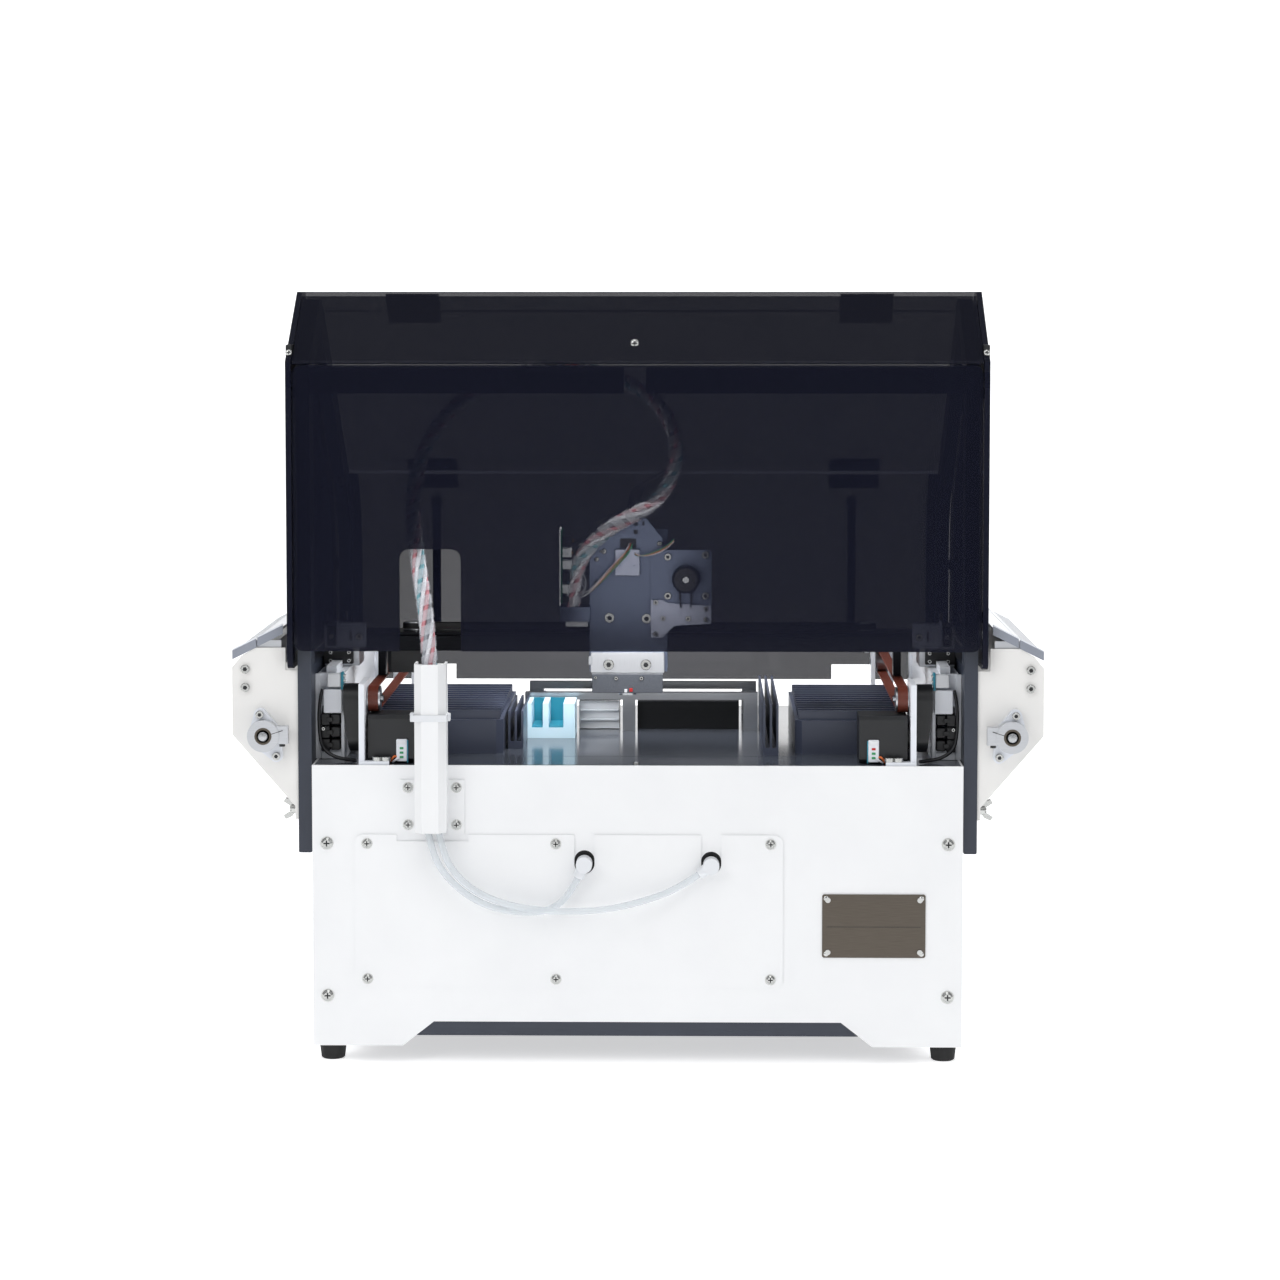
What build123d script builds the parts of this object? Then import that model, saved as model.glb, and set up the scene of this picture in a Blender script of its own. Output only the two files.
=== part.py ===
from build123d import *
import math
import os

os.makedirs("parts", exist_ok=True)

# Desktop pick-and-place machine, seen from its rear on the -Y side, which carries the cables.
# +X is to the right from there, +Y runs to the operator's side and +Z is up from the floor.
# All sizes are in millimetres. Depths are counted from the outer face of the rear panel.

# ---------------------------------------------------------------- driving dimensions
REAR = -217.0                     # Y of the rear panel's outer face
BODY_W = 580.0                    # cabinet width
BODY_D = 440.0                    # cabinet depth
FOOT_H = 16.0
TABLE_Z = 269.0                   # top of the work table
SHEET = 2.0                       # steel sheet of the cabinet
TABLE_T = 6.0

SIDE_IN, SIDE_OUT = 291.0, 303.0  # slate side plates, distance from the middle
SIDE_BOTTOM = 189.0
SKIN_IN, SKIN_OUT = 306.0, 311.0  # smoked side skins
SKIN_BOTTOM = 355.0
COVER_X = 305.5                   # half width of the cover's panels
ACRYLIC = 4.0

RIDGE_Z = 690.0                   # highest line of the cover's panels
REAR_EDGE_Z = 628.0               # where the sloping rear panel starts
RIDGE_D = (90.0, 118.0)           # depths of the flat ridge
LID_D = 139.0                     # upper hinge line
FLAP_D, FLAP_Z = 352.0, 513.0     # lower hinge line
LID_DROP = (RIDGE_Z - FLAP_Z) / (FLAP_D - RIDGE_D[1])       # fall of the lid for each mm of depth
LID_Z = RIDGE_Z - LID_DROP * (LID_D - RIDGE_D[1])
FLAP_FRONT_D = 385.0
FLAP_BOTTOM = 303.0
FLAP_FLAT = 22.0                  # flat strip of the flap below its hinge
HINGE_X = 209.0                   # both hinge pairs and the handles
HINGE_W = 49.0

RAIL_X = 276.5                    # middle of the two Y rails
RAIL_TOP = 347.0
RAIL_D = (43.0, 366.0)
BELT_X = 237.5                    # middle of the two Y belts
BELT_W = 9.0
BELT_T = 1.4
BELT_Z = 325.0                    # axis height of the Y pulleys
Y_PULLEY_R = 10.0
DRIVE_D, IDLER_D = 34.0, 352.0

BEAM_D = (100.0, 140.0)           # gantry beam at rest
BEAM_Z = (361.0, 378.0)
BEAM_X = 257.0
X_PULLEY_R = 7.0
X_PULLEY_X = 210.0
X_BELT_Z = (380.0, 385.0)

NOZZLE_X = (-27.0, 9.0)
NOZZLE_D = 166.0
NOZZLE_TIP = 322.0
Z_PULLEY = (43.0, 430.0)          # X and Z of the head's lift pulley
Z_PULLEY_R = 12.4

WING_X = 362.0
WING_D = (10.0, 330.0)
FILM_X, FILM_Z = 332.5, 295.5     # axis of the film take-up rollers

RISER_X = -182.5
RISER_W, RISER_DEPTH = 28.0, 28.0
RISER_Z = (212.0, 362.0)
FITTINGS = ((-47.0, 182.0, 245.0), (66.0, 181.0, 215.0))   # X, Z, port direction in degrees
FITTING_D = -9.0

BUNDLE_DIA = 15.0                 # wire bundle in its spiral wrap
TUBE_DIA = 6.0

RAIL_FIXED_D, RAIL_MOVING_D = (240.0, 250.0), (330.0, 340.0)   # board clamp rails
ROD_X, ROD_Z, ROD_R = 105.0, 285.0, 4.0


# ---------------------------------------------------------------- helpers
def depth(d):
    """Y of a point that lies d behind the rear panel's outer face."""
    return REAR + d


def block(x, y, z, mode=Mode.ADD):
    """Box between two X, two Y and two Z values, in the part being built."""
    middle = ((x[0] + x[1]) / 2, (y[0] + y[1]) / 2, (z[0] + z[1]) / 2)
    with Locations(middle):
        Box(abs(x[1] - x[0]), abs(y[1] - y[0]), abs(z[1] - z[0]), mode=mode)


def deep(a, b):
    """The two Y values of a span given by its depths."""
    return (depth(a), depth(b))


def mirrored(a, b, side):
    """The two X values of a span that is given for the right side."""
    return (side * a, side * b)


def rod_y(x, z, y, radius, mode=Mode.ADD):
    """Cylinder along Y between two Y values."""
    with Locations(Location((x, y[0], z), (-90, 0, 0))):
        Cylinder(radius, y[1] - y[0], align=(Align.CENTER, Align.CENTER, Align.MIN), mode=mode)


def rod_x(y, z, x, radius, mode=Mode.ADD):
    """Cylinder along X between two X values."""
    low, high = min(x), max(x)
    with Locations(Location((low, y, z), (0, 90, 0))):
        Cylinder(radius, high - low, align=(Align.CENTER, Align.CENTER, Align.MIN), mode=mode)


def rod_z(x, y, z, radius, mode=Mode.ADD):
    """Cylinder along Z between two Z values."""
    with Locations((x, y, z[0])):
        Cylinder(radius, z[1] - z[0], align=(Align.CENTER, Align.CENTER, Align.MIN), mode=mode)


def finish(part, name):
    """Labels a finished part and writes it as one STEP file."""
    part.label = name
    export_step(part, f"parts/{name}.step")


def outline_face(points, plane):
    """Flat face with straight edges through the points, on a plane."""
    with BuildSketch(plane, mode=Mode.PRIVATE) as outline:
        with BuildLine():
            Polyline(*points, close=True)
        make_face()
    return outline.sketch


# ---------------------------------------------------------------- cabinet
CORNER_SCREWS = [(x, z) for x in (-277.0, 277.0) for z in (61.5, 199.0)]
ACCESS = (-252.0, 130.0, 69.5, 207.0)
ACCESS_SCREWS = [(x, z) for x in (-241.0, -72.5, 119.0) for z in (77.0, 199.0)]
RISER_SCREWS = [(RISER_X + x, z) for x in (-21.5, 21.5) for z in (216.0, 249.5)]
PLATE = (165.0, 257.0, 97.0, 154.0)
WING_NUTS = [(side, d) for side in (-1, 1) for d in (28.0, 300.0)]
NUT_Z = 226.0
SKIRT = ((-210, FOOT_H), (-182, 38), (182, 38), (210, FOOT_H))   # cut-out along the bottom edge


def skirt_outline(low_x, high_x):
    """Corners of a cabinet wall with the long shallow cut-out along its lower edge."""
    return [(low_x, FOOT_H), *SKIRT, (high_x, FOOT_H), (high_x, TABLE_Z), (low_x, TABLE_Z)]


with BuildPart() as rear_panel:
    with BuildSketch(Plane.XZ.offset(-REAR)):
        with BuildLine():
            Polyline(*skirt_outline(-BODY_W / 2, BODY_W / 2), close=True)
        make_face()
        with Locations((-61, 124.5)):
            RectangleRounded(334, 81, 8, mode=Mode.SUBTRACT)
        for x, z, _ in FITTINGS:
            with Locations((x, z)):
                RectangleRounded(18, 22, 8.9, mode=Mode.SUBTRACT)
        with Locations(*CORNER_SCREWS):
            Circle(2.6, mode=Mode.SUBTRACT)
        with Locations(*ACCESS_SCREWS, *RISER_SCREWS):
            Circle(2.1, mode=Mode.SUBTRACT)
    extrude(amount=-SHEET)
finish(rear_panel.part, "rear_panel")

HALF = BODY_W / 2
SHELL_FRONT = depth(BODY_D)
ESTOP_X, ESTOP_Z = 232.0, 214.0
INLET_D, INLET_Z = 86.0, 92.0
with BuildPart() as base_shell:
    with BuildSketch(Plane.XZ.offset(-SHELL_FRONT)):
        with BuildLine():
            Polyline(*skirt_outline(-HALF, HALF), close=True)
        make_face()
        with Locations((ESTOP_X, ESTOP_Z)):
            Circle(11.2, mode=Mode.SUBTRACT)
    extrude(amount=SHEET)
    for side in (-1, 1):
        block(mirrored(HALF - SHEET, HALF, side), deep(SHEET, BODY_D - SHEET), (FOOT_H, TABLE_Z))
        block(mirrored(HALF - 32, HALF - SHEET, side), deep(SHEET, BODY_D - SHEET), (FOOT_H, FOOT_H + SHEET))
    block((-HALF, -HALF + SHEET), deep(INLET_D - 24, INLET_D + 24), (INLET_Z - 14, INLET_Z + 14), Mode.SUBTRACT)
finish(base_shell.part, "base_shell")

TRAY_Z = 25.0
TRAY_RIM = 78.0
with BuildPart() as bottom_tray:
    block((-HALF + SHEET, HALF - SHEET), deep(SHEET, BODY_D - SHEET), (TRAY_Z, TRAY_RIM))
    block((-HALF + 4, HALF - 4), deep(4, BODY_D - 4), (TRAY_Z + SHEET, TRAY_RIM + 1), Mode.SUBTRACT)
    for column in range(9):
        block((-160 + 40 * column, -136 + 40 * column), deep(330, 334), (TRAY_Z - 1, TRAY_Z + 5), Mode.SUBTRACT)
        block((-160 + 40 * column, -136 + 40 * column), deep(345, 349), (TRAY_Z - 1, TRAY_Z + 5), Mode.SUBTRACT)
finish(bottom_tray.part, "bottom_tray")

with BuildPart() as rubber_feet:
    for x in (-275, 275):
        for d in (24, BODY_D - 24):
            with Locations((x, depth(d), 0)):
                Cone(10.5, 12.5, FOOT_H, align=(Align.CENTER, Align.CENTER, Align.MIN))
    chamfer(rubber_feet.edges().group_by(Axis.Z)[0], 1.0)
finish(rubber_feet.part, "rubber_feet")

with BuildPart() as table_plate:
    block((-HALF + SHEET, HALF - SHEET), deep(SHEET, BODY_D - SHEET), (TABLE_Z - TABLE_T, TABLE_Z))
    block((-HALF, HALF), deep(60, 61.5), (TABLE_Z - 1.2, TABLE_Z + 1), Mode.SUBTRACT)
finish(table_plate.part, "table_plate")

ACCESS_T = 1.5
with BuildPart() as access_panel:
    with BuildSketch(Plane.XZ.offset(-REAR)):
        with Locations(((ACCESS[0] + ACCESS[1]) / 2, (ACCESS[2] + ACCESS[3]) / 2)):
            RectangleRounded(ACCESS[1] - ACCESS[0], ACCESS[3] - ACCESS[2], 8)
        for x, _, _ in FITTINGS:
            with Locations((x, 181)):
                Circle(9, mode=Mode.SUBTRACT)
            with Locations((x, 200)):
                Rectangle(18, 38, mode=Mode.SUBTRACT)
        with Locations(*ACCESS_SCREWS):
            Circle(2.1, mode=Mode.SUBTRACT)
        with Locations((RISER_X, 232)):
            Rectangle(64, 62, mode=Mode.SUBTRACT)
    extrude(amount=ACCESS_T)
finish(access_panel.part, "access_panel")


def pan_head(x, z, y, radius, shank, length):
    """Pan head screw along Y: head outside the face at y with a sloped rim and a cross recess, shank going in."""
    head = radius * 0.62
    rim = head * 0.4
    standing = (Align.CENTER, Align.CENTER, Align.MIN)
    with Locations(Location((x, y, z), (90, 0, 0))):
        Cylinder(radius, rim, align=standing)
    with Locations(Location((x, y - rim, z), (90, 0, 0))):
        Cone(radius, radius * 0.62, head - rim, align=standing)
    with Locations(Location((x, y - head * 0.6, z), (90, 0, 0))):
        Box(radius * 1.1, radius * 0.26, head, align=standing, mode=Mode.SUBTRACT)
        Box(radius * 0.26, radius * 1.1, head, align=standing, mode=Mode.SUBTRACT)
    rod_y(x, z, (y, y + length), shank)


with BuildPart() as fasteners:
    for x, z in CORNER_SCREWS:
        pan_head(x, z, REAR, 5.0, 2.5, SHEET)
    for x, z in ACCESS_SCREWS:
        pan_head(x, z, REAR - ACCESS_T, 4.0, 2.0, SHEET)
    for x, z in RISER_SCREWS:
        pan_head(x, z, REAR - SHEET, 4.0, 2.0, SHEET)
    for x in (PLATE[0] + 5, PLATE[1] - 5):
        for z in (PLATE[2] + 5, PLATE[3] - 5):
            rod_y(x, z, (REAR - 2.4, REAR - 1), 2.4)
    for side, d in WING_NUTS:
        rod_x(depth(d), NUT_Z, mirrored(SIDE_OUT, 313, side), 2.5)
        rod_x(depth(d), NUT_Z, mirrored(306.2, 311.5, side), 4.5)
        for up in (-1, 1):
            wing = [(307.5, 2.5), (311.0, 1.5), (318.8, 6.3), (316.6, 9.6), (311.0, 7.2)]
            extrude(outline_face([(side * x, NUT_Z + up * z) for x, z in wing], Plane.XZ.offset(2.5 - depth(d))),
                    amount=-5)
finish(fasteners.part, "fasteners")

with BuildPart() as data_plate:
    with BuildSketch(Plane.XZ.offset(-REAR)):
        with Locations(((PLATE[0] + PLATE[1]) / 2, (PLATE[2] + PLATE[3]) / 2)):
            RectangleRounded(PLATE[1] - PLATE[0], PLATE[3] - PLATE[2], 2)
    extrude(amount=1.0)
finish(data_plate.part, "data_plate")

# ---------------------------------------------------------------- cable riser and air line fittings
RISER_BACK = REAR - RISER_DEPTH
with BuildPart() as riser_channel:
    with BuildSketch(Plane.XY.offset(RISER_Z[0])):
        with Locations((RISER_X, REAR - RISER_DEPTH / 2)):
            Rectangle(RISER_W, RISER_DEPTH)
    extrude(amount=RISER_Z[1] - RISER_Z[0])
    outer = riser_channel.edges().filter_by(Axis.Z).group_by(Axis.Y)[0]
    chamfer(outer, 6.5)
    block((RISER_X - 12, RISER_X + 12), (RISER_BACK + 7, REAR + 1), (RISER_Z[0] - 1, RISER_Z[1] + 1), Mode.SUBTRACT)
    block((RISER_X - 7, RISER_X + 7), (RISER_BACK + 2, RISER_BACK + 7), (RISER_Z[0] - 1, RISER_Z[1] + 1),
          Mode.SUBTRACT)
    for low, high in ((-28.5, -14), (14, 28.5)):
        block((RISER_X + low, RISER_X + high), (REAR - SHEET, REAR), (208, 256))
    for x, z in RISER_SCREWS:
        rod_y(x, z, (REAR - 4, REAR + 1), 2.1, Mode.SUBTRACT)
finish(riser_channel.part, "riser_channel")

FITTING_R = 7.2
PORT_R = 5.0
PORT_LENGTH = 13.0


def port_direction(angle):
    """Unit vector in the rear plane at an angle from +X."""
    return (math.cos(math.radians(angle)), 0.0, math.sin(math.radians(angle)))


with BuildPart() as air_fittings:
    for x, z, angle in FITTINGS:
        rod_y(x, z, deep(FITTING_D - 7, -1.6), FITTING_R)
        rod_y(x, z, deep(-1.6, 4), 4.0)
        out = port_direction(angle)
        port = Plane(origin=(x, depth(FITTING_D), z), z_dir=out)
        with Locations(port.location):
            Cylinder(PORT_R, PORT_LENGTH, align=(Align.CENTER, Align.CENTER, Align.MIN))
finish(air_fittings.part, "air_fittings")


# ---------------------------------------------------------------- cords
def cord_radii(points):
    """One radius for each inner corner: 0.45 of the shorter run over the tangent of half the turn."""
    vectors = [Vector(*b) - Vector(*a) for a, b in zip(points, points[1:])]
    radii = []
    for before, after in zip(vectors, vectors[1:]):
        turn = math.radians(before.get_angle(after))
        radii.append(0.45 * min(before.length, after.length) / math.tan(turn / 2))
    return radii


def cord_tube(points, diameter, name):
    """Solid tube along straight runs joined by tangent arcs, checked against section times length."""
    radii = cord_radii(points)
    with BuildPart() as tube:
        with BuildLine() as route:
            FilletPolyline(*points, radius=radii)
        start = Plane(origin=points[0], z_dir=Vector(*points[1]) - Vector(*points[0]))
        with BuildSketch(start):
            Circle(diameter / 2)
        sweep(path=route.wires()[0])
    length = route.wires()[0].length
    share = tube.part.volume / (math.pi * diameter ** 2 / 4 * length)
    print(name, "length", round(length, 1), "volume share", round(share, 4), "radii", [round(r) for r in radii])
    finish(tube.part, name)


def in_frame(route):
    """Route points given as X, depth and Z, moved into the frame."""
    return [(x, depth(d), z) for x, d, z in route]


BUNDLE_ROUTE = in_frame([
    (-182.5, -14, 346), (-185, -11, 395), (-195, 12, 446), (-203, 30, 500), (-193, 40, 552), (-161, 47, 594),
    (-113, 52, 617), (-62, 56, 623), (-16, 59, 613), (20, 61, 590), (35, 63, 558), (33, 64, 525), (14, 65, 497),
    (-24, 66, 479), (-50, 68, 455), (-59.5, 70, 428), (-59.5, 70, 405)])
cord_tube(BUNDLE_ROUTE, BUNDLE_DIA, "umbilical")


def port_end(x, z, angle, reach):
    """Point on a fitting's port axis, reach away from the fitting's middle, as X, depth and Z."""
    out = port_direction(angle)
    return (x + reach * out[0], FITTING_D, z + reach * out[2])


cord_tube(in_frame([
    (-187, -14, 226), (-184, -14.5, 196), (-167, -15, 167), (-137, -15.5, 146), (-104, -15, 139), (-79, -12, 140),
    port_end(*FITTINGS[0], PORT_LENGTH + 19), port_end(*FITTINGS[0], PORT_LENGTH)]), TUBE_DIA, "air_tube_a")
cord_tube(in_frame([
    (-178, -14, 226), (-174, -16, 193), (-152, -20, 163), (-115, -23, 147), (-72, -23.5, 141.5),
    (-28, -22, 143), (10, -15, 151), port_end(*FITTINGS[1], PORT_LENGTH + 22),
    port_end(*FITTINGS[1], PORT_LENGTH)]), TUBE_DIA, "air_tube_b")

# ---------------------------------------------------------------- slate side plates and smoked cover
# The flap leaves its hinge line at a 3-4-5 slope and bends down to the vertical on one large arc.
FLAP_TANGENT = (0.6, -0.8)
FLAP_BEND = ((FLAP_D + FLAP_FLAT * 0.6), (FLAP_Z - FLAP_FLAT * 0.8))
FLAP_RADIUS = (FLAP_FRONT_D - FLAP_BEND[0]) / (1 - 0.8)
FLAP_STRAIGHT_Z = FLAP_BEND[1] - 0.6 * FLAP_RADIUS


def cover_outline(plane, inset, bottom, rear):
    """Side profile of the cover as a face, drawn in by inset; bottom and rear are where its edges end up."""
    low, back = bottom - inset, rear - inset
    with BuildSketch(plane, mode=Mode.PRIVATE) as profile:
        with BuildLine():
            Polyline((depth(FLAP_FRONT_D), low), (depth(back), low), (depth(back), REAR_EDGE_Z),
                     (depth(RIDGE_D[0]), RIDGE_Z), (depth(RIDGE_D[1]), RIDGE_Z), (depth(FLAP_D), FLAP_Z),
                     (depth(FLAP_BEND[0]), FLAP_BEND[1]))
            TangentArc((depth(FLAP_BEND[0]), FLAP_BEND[1]), (depth(FLAP_FRONT_D), FLAP_STRAIGHT_Z),
                       tangent=FLAP_TANGENT)
            Line((depth(FLAP_FRONT_D), FLAP_STRAIGHT_Z), (depth(FLAP_FRONT_D), low))
        make_face()
        if inset > 0:
            offset(amount=-inset, kind=Kind.INTERSECTION)
    return profile.sketch


PLATE_INSET = 7.0
WINDOW_INSET = 34.0
STRIP_X = 282.0
SLOT_Z = (362.0, 499.0)
with BuildPart() as side_plates:
    for side in (-1, 1):
        plane = Plane.YZ.offset(min(side * SIDE_IN, side * SIDE_OUT))
        thick = SIDE_OUT - SIDE_IN
        extrude(cover_outline(plane, PLATE_INSET, SIDE_BOTTOM, 8), amount=thick)
        extrude(cover_outline(plane, WINDOW_INSET, 356, 36), amount=thick, mode=Mode.SUBTRACT)
        strip_plane = Plane.YZ.offset(min(side * STRIP_X, side * SIDE_IN))
        strip = cover_outline(strip_plane, PLATE_INSET, TABLE_Z + 1, 8)
        strip -= cover_outline(strip_plane, PLATE_INSET + 7, TABLE_Z - 20, -30)
        extrude(strip & outline_face([(depth(d), z) for d, z in ((330, 270), (390, 270), (390, 512), (330, 512))],
                                     strip_plane), amount=SIDE_IN - STRIP_X)
        for z in SLOT_Z:
            block(mirrored(294.5, 298.5, side), deep(290, 390), (z, z + 12), Mode.SUBTRACT)
    fillet(side_plates.edges().filter_by(Axis.Y).group_by(Axis.Z)[0], 1.5)
finish(side_plates.part, "side_plates")

SPACERS = ((22, 400), (22, 600), (110, 672), (364, 420), (240, 580))
with BuildPart() as cover_sides:
    for side in (-1, 1):
        plane = Plane.YZ.offset(min(side * SKIN_IN, side * SKIN_OUT))
        extrude(cover_outline(plane, 0, SKIN_BOTTOM, -3), amount=SKIN_OUT - SKIN_IN)
    fillet(cover_sides.edges().filter_by(Axis.X).group_by(Axis.Z)[0], 9)
    for side in (-1, 1):
        for d, z in SPACERS:
            rod_x(depth(d), z, mirrored(SIDE_OUT, SKIN_IN, side), 5)
finish(cover_sides.part, "cover_sides")

NOTCH = (-211.0, -156.5, 462.0)
REAR_PANEL_Z = (371.0, 625.0)
with BuildPart() as cover_rear_panel:
    with BuildSketch(Plane.XZ.offset(-depth(0))):
        with Locations((0, sum(REAR_PANEL_Z) / 2)):
            RectangleRounded(2 * COVER_X, REAR_PANEL_Z[1] - REAR_PANEL_Z[0], 9)
        with Locations(((NOTCH[0] + NOTCH[1]) / 2, (NOTCH[2] + 330) / 2)):
            RectangleRounded(NOTCH[1] - NOTCH[0], NOTCH[2] - 330, 9, mode=Mode.SUBTRACT)
    extrude(amount=-ACRYLIC)
finish(cover_rear_panel.part, "cover_rear_panel")

LID_SLOPE = math.atan(LID_DROP)
LID_LENGTH = math.hypot(LID_Z - FLAP_Z, FLAP_D - LID_D)


def lid_point(along, out):
    """Y and Z of a point on the lid, along from the upper hinge line and out from its outer face."""
    d = LID_D + along * math.cos(LID_SLOPE) + out * math.sin(LID_SLOPE)
    z = LID_Z - along * math.sin(LID_SLOPE) + out * math.cos(LID_SLOPE)
    return (depth(d), z)


def flap_point(along, out):
    """Y and Z of a point on the flap's flat strip, along from the lower hinge line and out from its face."""
    return (depth(FLAP_D + 0.6 * along + 0.8 * out), FLAP_Z - 0.8 * along + 0.6 * out)


def strip_on(surface, low, high, out_low, out_high):
    """Corners of a flat strip on the lid's or the flap's section, between two distances along it."""
    return [surface(low, out_low), surface(high, out_low), surface(high, out_high), surface(low, out_high)]


with BuildPart() as cover_ridge_panel:
    ridge = [(depth(-1), REAR_EDGE_Z + 1), (depth(RIDGE_D[0]), RIDGE_Z), (depth(RIDGE_D[1]), RIDGE_Z),
             lid_point(-1, 0), lid_point(-1, -ACRYLIC), (depth(RIDGE_D[1] - 1.4), RIDGE_Z - ACRYLIC),
             (depth(RIDGE_D[0] + 1.3), RIDGE_Z - ACRYLIC), (depth(1.3), REAR_EDGE_Z - 2.3)]
    extrude(outline_face(ridge, Plane.YZ.offset(-COVER_X)), amount=2 * COVER_X)
finish(cover_ridge_panel.part, "cover_ridge_panel")

with BuildPart() as cover_crossbars:
    block((-SIDE_IN + 1, -12), deep(4.2, 16), (600, 623))
    block((8, SIDE_IN - 1), deep(4.2, 16), (600, 623))
finish(cover_crossbars.part, "cover_crossbars")

with BuildPart() as top_lid:
    extrude(outline_face(strip_on(lid_point, 1.0, LID_LENGTH - 1.0, 0, -ACRYLIC), Plane.YZ.offset(-COVER_X)),
            amount=2 * COVER_X)
finish(top_lid.part, "top_lid")

# Hinges lie on the outer faces, with their pins above the seams, so the panels fold outwards.
PIN_R = 2.0
PIN_HOLE_R = 2.06
KNUCKLE_R = 4.0
PIN_OUT = 4.4
LEAF = (4.7, 21.0)
LEAF_T = 1.8
OUTER_KNUCKLES = ((-24.5, -8.5), (8.5, 24.5))
MIDDLE_KNUCKLE = ((-8.2, 8.2),)
UPPER_PIN = lid_point(0, PIN_OUT)
LOWER_PIN = lid_point(LID_LENGTH, PIN_OUT)


def hinge_leaf(surface, low, high, knuckles, pin, bored):
    """Leaves of both hinges on one panel: plate, arms and barrels; the pin is fixed in the outer barrels."""
    near = low if abs(low) < abs(high) else high
    for centre in (-HINGE_X, HINGE_X):
        extrude(outline_face(strip_on(surface, low, high, 0, LEAF_T), Plane.YZ.offset(centre - HINGE_W / 2)),
                amount=HINGE_W)
        for left, right in knuckles:
            arm = [surface(near, 0), surface(near, LEAF_T), (pin[0], pin[1] + 1.5), (pin[0], pin[1] - 2.5)]
            extrude(outline_face(arm, Plane.YZ.offset(centre + left)), amount=right - left)
            rod_x(pin[0], pin[1], (centre + left, centre + right), KNUCKLE_R)
        if bored:
            rod_x(pin[0], pin[1], (centre - 10, centre + 10), PIN_HOLE_R, Mode.SUBTRACT)
        else:
            rod_x(pin[0], pin[1], (centre - HINGE_W / 2, centre + HINGE_W / 2), PIN_R)


with BuildPart() as ridge_hinge_leaves:
    hinge_leaf(lid_point, -LEAF[1], -LEAF[0], OUTER_KNUCKLES, UPPER_PIN, False)
finish(ridge_hinge_leaves.part, "ridge_hinge_leaves")

with BuildPart() as lid_hinge_leaves:
    hinge_leaf(lid_point, LEAF[0], LEAF[1], MIDDLE_KNUCKLE, UPPER_PIN, True)
    hinge_leaf(lid_point, LID_LENGTH - LEAF[1], LID_LENGTH - LEAF[0], OUTER_KNUCKLES, LOWER_PIN, False)
finish(lid_hinge_leaves.part, "lid_hinge_leaves")

with BuildPart() as front_flap:
    with BuildSketch(Plane.YZ.offset(-COVER_X)):
        with BuildLine():
            bend, inner_bend = flap_point(FLAP_FLAT, 0), flap_point(FLAP_FLAT, -ACRYLIC)
            inner_d = depth(FLAP_FRONT_D - ACRYLIC)
            Line(flap_point(1.2, 0), bend)
            TangentArc(bend, (depth(FLAP_FRONT_D), FLAP_STRAIGHT_Z), tangent=FLAP_TANGENT)
            Polyline((depth(FLAP_FRONT_D), FLAP_STRAIGHT_Z), (depth(FLAP_FRONT_D), FLAP_BOTTOM),
                     (inner_d, FLAP_BOTTOM), (inner_d, FLAP_STRAIGHT_Z))
            TangentArc((inner_d, FLAP_STRAIGHT_Z), inner_bend, tangent=(0, 1))
            Polyline(inner_bend, flap_point(1.2, -ACRYLIC), flap_point(1.2, 0))
        make_face()
    extrude(amount=2 * COVER_X)
    for centre in (-HINGE_X, HINGE_X):
        block((centre - 20.5, centre + 20.5), deep(370, 395), (FLAP_BOTTOM - 5, FLAP_BOTTOM + 15), Mode.SUBTRACT)
finish(front_flap.part, "front_flap")

HANDLE_Z = (336.0, 480.0)
HANDLE_D = (397.0, 403.0)
with BuildPart() as flap_fittings:
    hinge_leaf(flap_point, LEAF[0], LEAF[1], MIDDLE_KNUCKLE, LOWER_PIN, True)
    for centre in (-HINGE_X, HINGE_X):
        block((centre - 4, centre + 4), deep(*HANDLE_D), HANDLE_Z)
        rod_y(centre, HANDLE_Z[1], deep(HANDLE_D[0] - 1, HANDLE_D[1] + 1), 6)
        rod_y(centre, HANDLE_Z[0], deep(HANDLE_D[0] - 1, HANDLE_D[1] + 1), 6)
        rod_y(centre, HANDLE_Z[1], deep(373.5, HANDLE_D[0]), 3)
        rod_y(centre, HANDLE_Z[0], deep(FLAP_FRONT_D, HANDLE_D[0]), 3)
finish(flap_fittings.part, "flap_fittings")

# ---------------------------------------------------------------- Y axis
GUIDE_W, GUIDE_H = 9.0, 6.0
with BuildPart() as y_rails:
    for side in (-1, 1):
        block(mirrored(RAIL_X - 12, RAIL_X + 12, side), deep(*RAIL_D), (TABLE_Z, RAIL_TOP))
        block(mirrored(RAIL_X - 9, RAIL_X + 9, side), deep(RAIL_D[0] - 1, RAIL_D[0] + 60),
              (TABLE_Z + 9, RAIL_TOP - 30), Mode.SUBTRACT)
        block(mirrored(RAIL_X - 13, RAIL_X - 9, side), deep(130, 350), (TABLE_Z + 12, RAIL_TOP - 12), Mode.SUBTRACT)
        block(mirrored(RAIL_X - GUIDE_W / 2, RAIL_X + GUIDE_W / 2, side), deep(*RAIL_D),
              (RAIL_TOP, RAIL_TOP + GUIDE_H))
finish(y_rails.part, "y_rails")

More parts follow.
